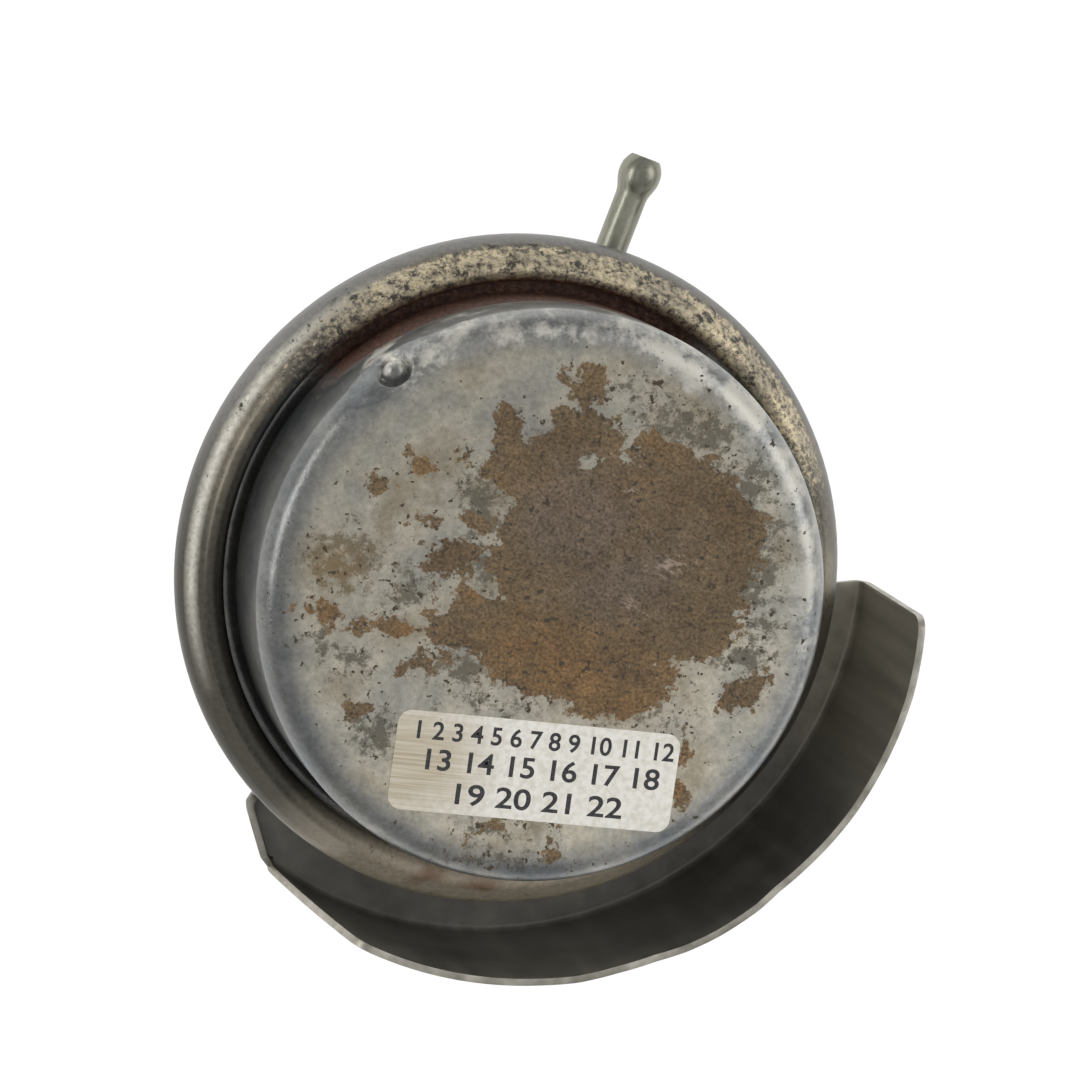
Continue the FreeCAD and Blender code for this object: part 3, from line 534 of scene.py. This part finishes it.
def makePlainMetal(kind):
    finish = plainMetals[kind]
    m = newMaterial(finish["name"])
    point = placesOn(m)["point"]
    stretched = addNode(m, "Mapping", {"Vector": point, "Scale": finish["marks"]}, vector_type="TEXTURE")[0]
    marks = addNode(m, "TexNoise", {"Vector": stretched, "Scale": 1.0, "Detail": 4.0, "Roughness": 0.6})[0]
    blooms = addNode(m, "TexNoise", {"Vector": point, "Scale": 0.35, "Detail": 6.0, "Roughness": 0.65})[0]
    tone = addNode(m, "ValToRGB", {0: marks}, [(0.32, finish["tones"][0]), (0.68, finish["tones"][1])])[0]
    aged = addNode(
        m, "MapRange", {0: blooms, 1: 0.72 - 0.3 * finish["age"], 2: 0.8, 4: min(2 * finish["age"], 1)}
    )[0]
    tone = addNode(m, "Mix", {0: aged, 6: tone, 7: finish["aged"]}, data_type="RGBA")[2]
    low, high = finish["rough"]
    rough = addNode(m, "MapRange", {0: marks, 1: 0.3, 2: 0.7, 3: low, 4: high})[0]
    rough = addNode(m, "Mix", {0: aged, 2: rough, 3: 0.75})[0]
    metallic = addNode(m, "MapRange", {0: aged, 3: 1.0, 4: 0.3})[0]
    return finishMaterial(
        m, {"Base Color": tone, "Metallic": metallic, "Roughness": rough}, marks, finish["depth"]
    )


# Rubbers and the stop's plastic: dark, matt, with a fabric or moulded skin
softFinishes = {
    "diaphragm": {
        "name": "fabric-backed rubber", "tones": ("#1d1d1e", "#2e2d2c"), "rough": 0.62, "cell": 0.6,
        "depth": 0.06,
    },
    "rod_seal": {
        "name": "moulded nitrile rubber", "tones": ("#191919", "#262524"), "rough": 0.5, "cell": 0.25,
        "depth": 0.01,
    },
    "travel_stop": {
        "name": "moulded polyamide", "tones": ("#23221f", "#34322e"), "rough": 0.45, "cell": 0.4,
        "depth": 0.02,
    },
}


def makeSoftMaterial(kind):
    finish = softFinishes[kind]
    m = newMaterial(finish["name"])
    point = placesOn(m)["point"]
    skin = addNode(m, "TexVoronoi", {"Vector": point, "Scale": 1 / finish["cell"]})[0]
    tone = addNode(m, "ValToRGB", {0: skin}, [(0.1, finish["tones"][0]), (0.7, finish["tones"][1])])[0]
    return finishMaterial(m, {"Base Color": tone, "Roughness": finish["rough"]}, skin, finish["depth"])


metals = {kind: makePlainMetal(kind) for kind in plainMetals}
softs = {kind: makeSoftMaterial(kind) for kind in softFinishes}
capSteel = makeCapSteel()
canSteel = makeCanSteel()
shieldSteel = makeShieldSteel()
shearedEdge = makeShearedEdge()
labelFoil = makeLabelFoil()
printedInk = makePrintedInk()

nodeMaterials = {
    **softs,
    "end_cap": capSteel,
    "rod_side_can": canSteel,
    "heat_shield": shieldSteel,
    "return_spring": metals["spring"],
    "lock_nut": metals["mounting_studs"],
    "rod_end": metals["forged"],
}
for name in ("push_rod", "guide_housing", "mounting_studs", "stud_collars", "hose_nipple"):
    nodeMaterials[name] = metals[name]
for name in ("piston_cup", "diaphragm_plate", "swage_washer", "spring_seat", "seal_retainer"):
    nodeMaterials[name] = metals["plated"]
for name in ("guide_bush", "eye_bush"):
    nodeMaterials[name] = metals["bronze"]
for name, material in nodeMaterials.items():
    nodes[name].data.materials.clear()
    nodes[name].data.materials.append(material)
print("materials made for", len(nodeMaterials), "nodes")


sharpEdge = 35


# Links a mesh as a piece: smooth but for edges sharper than sharpEdge degrees, riding on its body
def addPiece(name, mesh, material, body, replaced=None):
    bmesh.ops.recalc_face_normals(mesh, faces=mesh.faces)
    data = bpy.data.meshes.new(name)
    mesh.to_mesh(data)
    mesh.free()
    data.shade_smooth()
    data.set_sharp_from_angle(angle=math.radians(sharpEdge))
    data.materials.append(material)
    piece = bpy.data.objects.new(name, data)
    bpy.context.scene.collection.objects.link(piece)
    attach(piece, body)
    if replaced:
        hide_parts(replaced)
    return piece


# Turns a section of (radius, height) points in mm about an upright axis; its ends lie on it, or it closes
def turnSection(mesh, section, angles, centre=(0, 0), push=None):
    rings = []
    for row, (radius, height) in enumerate(section):
        ring = []
        for angle in angles if radius else [0]:
            x, y = radius * math.cos(angle), radius * math.sin(angle)
            place = Vector((centre[0] + x, centre[1] + y, height))
            if push:
                place = push(row, radius, angle, place)
            ring.append(mesh.verts.new(place * mm))
        rings.append(ring)
    closing = [] if section[0][0] == 0 else [(rings[-1], rings[0])]
    for one, other in list(zip(rings, rings[1:])) + closing:
        count = max(len(one), len(other))
        for i in range(count):
            j = (i + 1) % count
            corners = [one[i % len(one)], one[j % len(one)], other[j % len(other)], other[i % len(other)]]
            mesh.faces.new(list(dict.fromkeys(corners)))


def arcPoints(centre, radius, begin, end, count):
    turns = [math.radians(begin + (end - begin) * i / count) for i in range(count + 1)]
    return [(centre[0] + radius * math.cos(t), centre[1] + radius * math.sin(t)) for t in turns]


def evenSteps(begin, end, step):
    count = max(1, round(abs(end - begin) / step))
    return [begin + (end - begin) * i / count for i in range(count + 1)]


def smoothed(share):
    share = min(max(share, 0), 1)
    return share * share * (3 - 2 * share)


# The cap, drawn finer than its solid round the vent: a shallow pressed dent, a domed pip in it and, on the
# face's side, the crescent that the punch pushed up
capShape = {
    "radius": 31.3,
    "top": 36.6,
    "bend": 3.0,
    "flangeTop": 19.0,
    "flangeBend": 1.0,
    "flangeRadius": 35.8,
    "sheet": 1.1,
    "wallFoot": 29,
    "rowStep": 0.33,
    "ventAngle": 124.1,
    "ventBelow": 0.5,
    "ventHalfTurn": 15,
    "ventReach": 9,
    "pressedRadius": 22,
    "pressedHeight": 27,
    "dentHalf": (6.5, 3.0),
    "dentDepth": 0.55,
    "dentFlat": 1.4,
    "grooveRadius": 2.3,
    "grooveWall": 0.8,
    "grooveDepth": 0.75,
    "pipRadius": 1.4,
    "pipRise": 1.45,
    "ridgeRadius": 2.35,
    "ridgeWidth": 0.5,
    "ridgeRise": 0.32,
    "ridgeTurn": 125.0,
}


def addCap():
    shape = capShape
    bendCentre = (shape["radius"] - shape["bend"], shape["top"] - shape["bend"])
    footCentre = (shape["radius"] + shape["flangeBend"], shape["flangeTop"] + shape["flangeBend"])
    sheet = shape["sheet"]
    outer = [(0, shape["top"])] + [(r, shape["top"]) for r in (9, 18, 23)]
    outer += [(r, shape["top"]) for r in evenSteps(24, bendCentre[0] - 0.3, shape["rowStep"])]
    outer += arcPoints(bendCentre, shape["bend"], 90, 0, 28)
    wall = evenSteps(bendCentre[1] - 0.3, shape["wallFoot"], shape["rowStep"])
    outer += [(shape["radius"], z) for z in wall]
    outer += arcPoints(footCentre, shape["flangeBend"], 180, 270, 6)
    outer += [(shape["flangeRadius"], z) for z in (shape["flangeTop"], shape["flangeTop"] - sheet)]
    inner = arcPoints(footCentre, shape["flangeBend"] + sheet, 270, 180, 6)
    inner += [(shape["radius"] - sheet, z) for z in evenSteps(shape["wallFoot"], bendCentre[1] - 0.4, 0.5)]
    inner += arcPoints(bendCentre, shape["bend"] - sheet, 0, 90, 14)
    inner += [(r, shape["top"] - sheet) for r in (26, 24, 14)] + [(0, shape["top"] - sheet)]
    section = outer + inner
    vent = math.radians(shape["ventAngle"])
    half = shape["ventHalfTurn"]
    turns = evenSteps(-half, half, 0.4) + evenSteps(half, 360 - half, 2)[1:-1]
    angles = [vent + math.radians(turn) for turn in turns]
    slope = Vector((math.cos(vent), math.sin(vent), 1)).normalized()

    # Where a point lies from the pip's middle, in mm: round the cap, and up the shoulder to the face
    def fromPip(radius, height, angle):
        turn = (angle - vent + math.pi) % (2 * math.pi) - math.pi
        aside = radius * turn
        along = (height - bendCentre[1] - (radius - bendCentre[0])) * math.sqrt(0.5) + shape["ventBelow"]
        return aside, along

    def press(row, radius, angle, place):
        aside, along = fromPip(radius, place.z, angle)
        reach = math.hypot(aside, along)
        if radius < shape["pressedRadius"] or place.z < shape["pressedHeight"] or reach > shape["ventReach"]:
            return place
        oval = 1 - (aside / shape["dentHalf"][0]) ** 2 - (along / shape["dentHalf"][1]) ** 2
        rise = -shape["dentDepth"] * smoothed(shape["dentFlat"] * oval)
        rise -= shape["grooveDepth"] * smoothed((shape["grooveRadius"] - reach) / shape["grooveWall"])
        if reach < shape["pipRadius"]:
            rise += shape["pipRise"] * math.sqrt(1 - (reach / shape["pipRadius"]) ** 2)
        toward = math.cos(math.atan2(along, aside) - math.radians(shape["ridgeTurn"]))
        ridge = math.exp(-((reach - shape["ridgeRadius"]) / shape["ridgeWidth"]) ** 2)
        rise += shape["ridgeRise"] * ridge * smoothed(toward * 1.2)
        return place + slope * rise

    mesh = bmesh.new()
    turnSection(mesh, section, angles, push=press)
    addPiece("end_cap_drawn", mesh, capSteel, "housing", "end_cap")


addCap()


# The shield: flat plate under the can and a wall bent up, one sheet with holes, its cut edges bright. Its rim
# has been knocked into long flats: rimBends says how far it leans out in mm at each angle
shieldShape = {
    "sheet": 0.8,
    "radius": 43.8,
    "bottom": 4.0,
    "top": 27.6,
    "bend": 1.5,
    "shift": 2.2,
    "shiftAngle": -36.9,
    "rightAngle": -4.1,
    "leftAngle": -127.8,
    "leftRimAngle": -118.1,
    "rightEdgeTurn": 8.0,
    "edgeLength": 10.0,
    "corner": 1.8,
    "discRadius": 29.5,
    "neckHole": 12.4,
    "studHole": 5.4,
    "studOffset": 20.0,
    "leftEdge": [(-25.3, -34.4), (-26.3, -31.0), (-26.85, -29.0), (-26.9, -28.2), (-26.4, -27.3)],
    "lip": 1.3,
    "rimBends": [
        (-118, -0.5), (-105, -0.45), (-90, -0.4), (-84, -0.28), (-78, -0.5), (-72, -0.5), (-67, -0.12),
        (-62, 0.02), (-55, -0.05), (-51, -0.34), (-46, -0.2), (-40, 0.0), (-35, 0.12), (-16, 0.12),
        (-8, -0.15), (-4, -0.3),
    ],
    "edgeSoftness": 0.12,
    "edgeAngle": 60,
    "columns": 190,
}


def onCircle(radius, degrees):
    return Vector((radius * math.cos(math.radians(degrees)), radius * math.sin(math.radians(degrees)), 0))


def rimLean(angle):
    bends = shieldShape["rimBends"]
    for (begin, leanBegin), (end, leanEnd) in zip(bends, bends[1:]):
        if angle <= end:
            return leanBegin + (leanEnd - leanBegin) * max(angle - begin, 0) / (end - begin)
    return bends[-1][1]


def addShield():
    shape = shieldShape
    half = shape["sheet"] / 2
    wallRadius = shape["radius"] - half
    floorHeight = shape["bottom"] + half
    bend = shape["bend"] - half
    foot = wallRadius - bend
    middle = onCircle(shape["shift"], shape["shiftAngle"])
    rows = arcPoints((foot, floorHeight + bend), bend, -90, 0, 5)
    cornerHeight = shape["top"] - shape["corner"]
    rows += [(wallRadius, z) for z in evenSteps(floorHeight + bend, cornerHeight, 1.3)[1:]]
    for turn in evenSteps(0, 90, 11)[1:]:
        rows.append((wallRadius, cornerHeight + shape["corner"] * math.sin(math.radians(turn))))
    mesh = bmesh.new()
    grid = []
    for radius, height in rows:
        slant = (height - shape["bottom"]) / (shape["top"] - shape["bottom"])
        left = shape["leftAngle"] + (shape["leftRimAngle"] - shape["leftAngle"]) * slant
        over = max(height - cornerHeight, 0) / shape["corner"]
        inset = math.degrees(shape["corner"] * (1 - math.sqrt(max(1 - over * over, 0))) / wallRadius)
        loose = max(slant - 0.1, 0) ** 1.5
        line = []
        for i in range(shape["columns"] + 1):
            angle = left + inset + (shape["rightAngle"] - left - 2 * inset) * i / shape["columns"]
            out = radius + rimLean(angle) * loose
            line.append(mesh.verts.new((middle + onCircle(out, angle) + Vector((0, 0, height))) * mm))
        grid.append(line)
    for lower, upper in zip(grid, grid[1:]):
        for i in range(len(lower) - 1):
            mesh.faces.new((lower[i], lower[i + 1], upper[i + 1], upper[i]))

    # The plate's outline: the wall's foot, an edge at each end, and the disc under the can
    def runToDisc(points):
        share, step = 0.0, 0.002
        while points[-1].lerp(middle, share).length > shape["discRadius"]:
            share += step
        return points + [points[-1].lerp(middle, share)]

    rightCorner = middle + onCircle(foot, shape["rightAngle"])
    rightEdge = runToDisc(
        [rightCorner + onCircle(shape["edgeLength"], shape["rightAngle"] + 180 + shape["rightEdgeTurn"])]
    )
    leftEdge = runToDisc([Vector((x, y, 0)) for x, y in shape["leftEdge"]])
    begin = math.degrees(math.atan2(rightEdge[-1].y, rightEdge[-1].x))
    end = math.degrees(math.atan2(leftEdge[-1].y, leftEdge[-1].x)) + 360
    disc = [onCircle(shape["discRadius"], angle) for angle in evenSteps(begin, end, 3)[1:-1]]
    lift = Vector((0, 0, floorHeight))
    free = [mesh.verts.new((point + lift) * mm) for point in rightEdge + disc + leftEdge[::-1]]
    outline = [grid[0][-1]] + free + grid[0]
    edges = []
    for one, other in zip(outline, outline[1:]):
        edges.append(mesh.edges.get((one, other)) or mesh.edges.new((one, other)))
    holes = [(Vector((0, 0, 0)), shape["neckHole"])]
    holes += [(onCircle(shape["studOffset"], side), shape["studHole"]) for side in (0, 180)]
    for centre, radius in holes:
        hole = [mesh.verts.new((centre + onCircle(radius, angle) + lift) * mm) for angle in range(0, 360, 6)]
        edges += [mesh.edges.new((hole[i - 1], hole[i])) for i in range(len(hole))]
    bmesh.ops.triangle_fill(mesh, edges=edges, use_beauty=True)
    # The plate's left edge turns up in a low lip
    lipFoot = [grid[0][0]] + free[:-len(leftEdge):-1]
    lipTop = [grid[3][0]] + [mesh.verts.new(v.co + Vector((0, 0, shape["lip"] * mm))) for v in lipFoot[1:]]
    mesh.faces.new((lipFoot[0], lipFoot[1], lipTop[1], lipTop[0], grid[2][0], grid[1][0]))
    for i in range(1, len(lipFoot) - 1):
        mesh.faces.new((lipFoot[i], lipFoot[i + 1], lipTop[i + 1], lipTop[i]))
    piece = addPiece("heat_shield_sheet", mesh, shieldSteel, "housing", "heat_shield")
    piece.data.materials.append(shearedEdge)
    thicken = piece.modifiers.new("sheet", "SOLIDIFY")
    thicken.thickness = shape["sheet"] * mm
    thicken.offset = 0
    thicken.material_offset_rim = 1
    soften = piece.modifiers.new("burr", "BEVEL")
    soften.width = shape["edgeSoftness"] * mm
    soften.segments = 2
    soften.limit_method = "ANGLE"
    soften.angle_limit = math.radians(shape["edgeAngle"])


addShield()


# The nipple as one turned surface, for smooth highlights on its bulb: (radius, distance from the rod axis)
nippleShape = {
    "turn": 69.4,
    "height": 7.9,
    "bore": [(1.1, 31.4), (1.1, 47.85), (1.25, 48.0)],
    "bulb": [
        (1.62, 48.0), (1.78, 47.85), (2.08, 47.35), (2.28, 46.9), (2.37, 46.4), (2.38, 46.0), (2.36, 45.5),
        (2.25, 45.0), (2.06, 44.45), (1.9, 44.0), (1.81, 43.6), (1.78, 43.2), (1.78, 36.0), (1.78, 34.4),
    ],
    "braze": [(1.88, 34.0), (2.1, 33.5), (2.45, 33.05), (2.9, 32.7), (2.9, 32.2), (1.78, 32.0), (1.78, 31.4)],
}


def addNipple():
    shape = nippleShape
    mesh = bmesh.new()
    section = shape["bore"] + shape["bulb"] + shape["braze"]
    turnSection(mesh, section, [math.radians(angle) for angle in range(0, 360, 6)])
    mesh.transform(Matrix.Rotation(math.radians(90), 4, "Y"))
    mesh.transform(Matrix.Rotation(math.radians(shape["turn"]), 4, "Z"))
    mesh.transform(Matrix.Translation((0, 0, shape["height"] * mm)))
    addPiece("hose_nipple_turned", mesh, metals["hose_nipple"], "housing", "hose_nipple")


addNipple()


# Foil label on the cap's face: plain numbers in three lines, in place of wording
labelShape = {
    "width": 31.4,
    "height": 10.9,
    "corner": 1.5,
    "thick": 0.08,
    "centre": (-1.2, -18.5),
    "turn": -7.0,
    "onFace": 36.6,
    "inkThick": 0.004,
    "inkBold": 0.05,
    "lines": [("1 2 3 4 5 6 7 8 9 10 11 12", 3.3, 2.75, 28.6), ("13 14 15 16 17 18", 0.15, 3.2, 26.0),
              ("19 20 21 22", -3.35, 3.2, 18.6)],
    "lineStart": 0.6,
}


def addLabel():
    shape = labelShape
    halfX = shape["width"] / 2 - shape["corner"]
    halfY = shape["height"] / 2 - shape["corner"]
    turn = Matrix.Rotation(math.radians(shape["turn"]), 4, "Z")
    place = Matrix.Translation(Vector((*shape["centre"], shape["onFace"])) * mm) @ turn
    mesh = bmesh.new()
    for height in (0, shape["thick"]):
        outline = []
        for quarter, (x, y) in enumerate(((1, 1), (-1, 1), (-1, -1), (1, -1))):
            arc = arcPoints((x * halfX, y * halfY), shape["corner"], 90 * quarter, 90 * quarter + 90, 8)
            outline += [mesh.verts.new(Vector((*point, height)) * mm) for point in arc]
        mesh.faces.new(outline)
    mesh.verts.ensure_lookup_table()
    count = len(mesh.verts) // 2
    for i in range(count):
        j = (i + 1) % count
        mesh.faces.new([mesh.verts[k] for k in (i, j, j + count, i + count)])
    mesh.transform(place)
    addPiece("foil_label", mesh, labelFoil, "housing")
    for number, (text, across, size, width) in enumerate(shape["lines"], 1):
        words = bpy.data.curves.new("label_numbers", "FONT")
        words.body = text
        words.align_x = "CENTER"
        words.align_y = "CENTER"
        words.size = size * mm
        words.offset = shape["inkBold"] * mm
        words.extrude = shape["inkThick"] * mm
        words.materials.append(printedInk)
        piece = bpy.data.objects.new("label_numbers_" + str(number), words)
        bpy.context.scene.collection.objects.link(piece)
        bpy.context.view_layer.update()
        fitted = Matrix.Diagonal((width * mm / piece.dimensions.x, 1, 1, 1))
        lifted = Matrix.Translation(Vector((shape["lineStart"], across, shape["thick"])) * mm)
        piece.matrix_world = place @ lifted @ fitted
        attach(piece, "housing")


addLabel()


threadShape = {"pitch": 1.0, "depth": 0.5, "step": 0.125}


# A turned piece's section, with rows close enough for helical ridges along its thread
def threadedSection(section, begin, end, step):
    rows = []
    for (r1, z1), (r2, z2) in zip(section, section[1:]):
        rows.append((r1, z1))
        if r1 == r2 and min(z1, z2) < max(begin, end) and max(z1, z2) > min(begin, end):
            rows += [(r1, z) for z in evenSteps(z1, z2, step)[1:-1]]
    return rows + [section[-1]]


def addThreaded(mesh, shape, centre=(0, 0)):
    begin, end = shape["threadBegin"], shape["threadEnd"]
    middle = Vector((*centre, 0))

    def push(row, radius, angle, place):
        if abs(radius - shape["nominal"]) > 0.01 or not begin <= place.z <= end:
            return place
        turn = (place.z / threadShape["pitch"] - angle / (2 * math.pi)) % 1
        runout = smoothed((end - place.z) / threadShape["pitch"])
        groove = threadShape["depth"] * (1 - abs(2 * turn - 1)) * runout
        inward = (middle - place) * (groove / radius)
        return place + Vector((inward.x, inward.y, 0))

    rows = threadedSection(shape["section"], begin, end, threadShape["step"])
    turnSection(mesh, rows, [math.radians(a) for a in range(0, 360, 9)], centre, push)


studShape = {
    "section": [
        (0, -16.0), (2.3, -16.0), (3.0, -15.3), (3.0, -0.4), (2.6, 0.0), (3.4, 0.0), (3.4, 4.0), (5.0, 4.0),
        (5.0, 4.8), (0, 4.8),
    ],
    "threadBegin": -15.6, "threadEnd": -0.6, "nominal": 3.0, "offset": 20.0,
}
rodShape = {
    "section": [
        (0, -68.1), (2.5, -68.1), (3.0, -67.6), (3.0, 27.5), (7.0, 27.5), (7.0, 29.5), (2.5, 29.5),
        (2.5, 33.5), (4.2, 33.5), (4.2, 33.6), *arcPoints((2.87, 33.57), 1.33, 0, 90, 8), (0, 34.9),
    ],
    "threadBegin": -67.8, "threadEnd": -46.0, "nominal": 3.0,
}


def addThreadedPieces():
    mesh = bmesh.new()
    for side in (1, -1):
        addThreaded(mesh, studShape, (side * studShape["offset"], 0))
    addPiece("studs_threaded", mesh, metals["mounting_studs"], "housing", "mounting_studs")
    mesh = bmesh.new()
    addThreaded(mesh, rodShape)
    addPiece("rod_threaded", mesh, metals["push_rod"], "rod", "push_rod")


addThreadedPieces()


# The spring and the diaphragm: copies of their solids, riding on the housing
softPieces = {
    "return_spring": {"piece": "coil_spring", "fixedEnd": 6.8, "keep": 0.559, "slot": "spring_steel"},
    "diaphragm": {"piece": "rubber_diaphragm", "fixedEnd": 17.15, "keep": 0.262, "slot": "diaphragm_rubber"},
}


def addSoftPieces():
    for node, soft in softPieces.items():
        mesh = bmesh.new()
        mesh.from_mesh(nodes[node].data)
        bmesh.ops.remove_doubles(mesh, verts=mesh.verts, dist=0.001 * mm)
        piece = addPiece(soft["piece"], mesh, nodeMaterials[node], "housing", node)
        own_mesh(piece)


addSoftPieces()


# White to the eye and a soft fill as a light. Metal sees a white floor and horizon, a dimmer room above them
# and a lighter ceiling, which gives it contrast
studio = {
    "floorDrop": 12 * mm,
    "floorSize": 3.0,
    "floorShine": 1.15,
    "floorShineShare": 0.75,
    "fillStrength": 0.58,
    "horizonStrength": 0.7,
    "roomStrength": 0.36,
    "roomFrom": 0.3,
    "ceilingStrength": 0.62,
    "ceilingFrom": 0.6,
    "ceilingFull": 0.9,
    "lamps": {
        "left": {"azimuth": 165, "elevation": 27, "power": 0.8, "wide": 0.4, "high": 0.09},
        "right": {"azimuth": 12, "elevation": 40, "power": 0.85, "wide": 0.5, "high": 0.3},
    },
    "lampDistance": 0.6,
}


def addWorld():
    world = bpy.data.worlds.new("soft white room")
    bpy.context.scene.world = world
    world.use_nodes = True
    world.node_tree.nodes.clear()
    path = addNode(world, "LightPath")
    direction = addNode(world, "TexCoord")["Generated"]
    height = addNode(world, "SeparateXYZ", {0: direction})[2]
    room = addNode(
        world, "MapRange",
        {0: height, 2: studio["roomFrom"], 3: studio["horizonStrength"], 4: studio["roomStrength"]},
        interpolation_type="SMOOTHSTEP",
    )[0]
    extra = studio["ceilingStrength"] - studio["roomStrength"]
    ceiling = addNode(
        world, "MapRange", {0: height, 1: studio["ceilingFrom"], 2: studio["ceilingFull"], 4: extra},
        interpolation_type="SMOOTHSTEP",
    )[0]
    reflected = addNode(world, "Math", {0: room, 1: ceiling}, operation="ADD")[0]
    mirrored = addNode(
        world, "Math", {0: path["Is Glossy Ray"], 1: path["Is Transmission Ray"]}, operation="MAXIMUM"
    )[0]
    strength = addNode(world, "Mix", {0: mirrored, 2: studio["fillStrength"], 3: reflected})[0]
    strength = addNode(world, "Mix", {0: path["Is Camera Ray"], 2: strength, 3: 1.0})[0]
    background = addNode(world, "Background", {"Color": (1, 1, 1, 1), "Strength": strength})[0]
    addNode(world, "OutputWorld", {"Surface": background})


# The floor is paper that looks white itself but still takes a faint shadow
def addFloor():
    paper = newMaterial("pale paper")
    path = addNode(paper, "LightPath")
    seen = addNode(
        paper, "Math", {0: path["Is Camera Ray"], 1: path["Is Glossy Ray"]}, operation="MAXIMUM"
    )[0]
    share = addNode(paper, "Math", {0: seen, 1: studio["floorShineShare"]}, operation="MULTIPLY")[0]
    matt = addNode(paper, "BsdfDiffuse", {"Color": "#f4f4f3"})[0]
    shine = addNode(paper, "Emission", {"Color": (1, 1, 1, 1), "Strength": studio["floorShine"]})[0]
    mixed = addNode(paper, "MixShader", {0: share, 1: matt, 2: shine})[0]
    addNode(paper, "OutputMaterial", {"Surface": mixed})
    bpy.ops.mesh.primitive_plane_add(size=studio["floorSize"])
    floor = bpy.context.object
    floor.name = "floor"
    floor.location.z = cadBox[0][2] - studio["floorDrop"]
    floor.data.materials.append(paper)


def addLamps():
    aim = Vector((0, 0, view["beadHeight"]))
    for name, lamp in studio["lamps"].items():
        data = bpy.data.lights.new(name + " lamp", "AREA")
        data.energy = lamp["power"]
        data.shape = "RECTANGLE"
        data.size = lamp["wide"]
        data.size_y = lamp["high"]
        azimuth, elevation = math.radians(lamp["azimuth"]), math.radians(lamp["elevation"])
        level = math.cos(elevation)
        toward = Vector((level * math.cos(azimuth), level * math.sin(azimuth), math.sin(elevation)))
        item = bpy.data.objects.new(name + " lamp", data)
        bpy.context.scene.collection.objects.link(item)
        item.location = aim + toward * studio["lampDistance"]
        item.rotation_euler = toward.to_track_quat("Z", "Y").to_euler()


bpy.context.scene.view_settings.view_transform = "Standard"
addWorld()
addFloor()
addLamps()
print("studio lit")
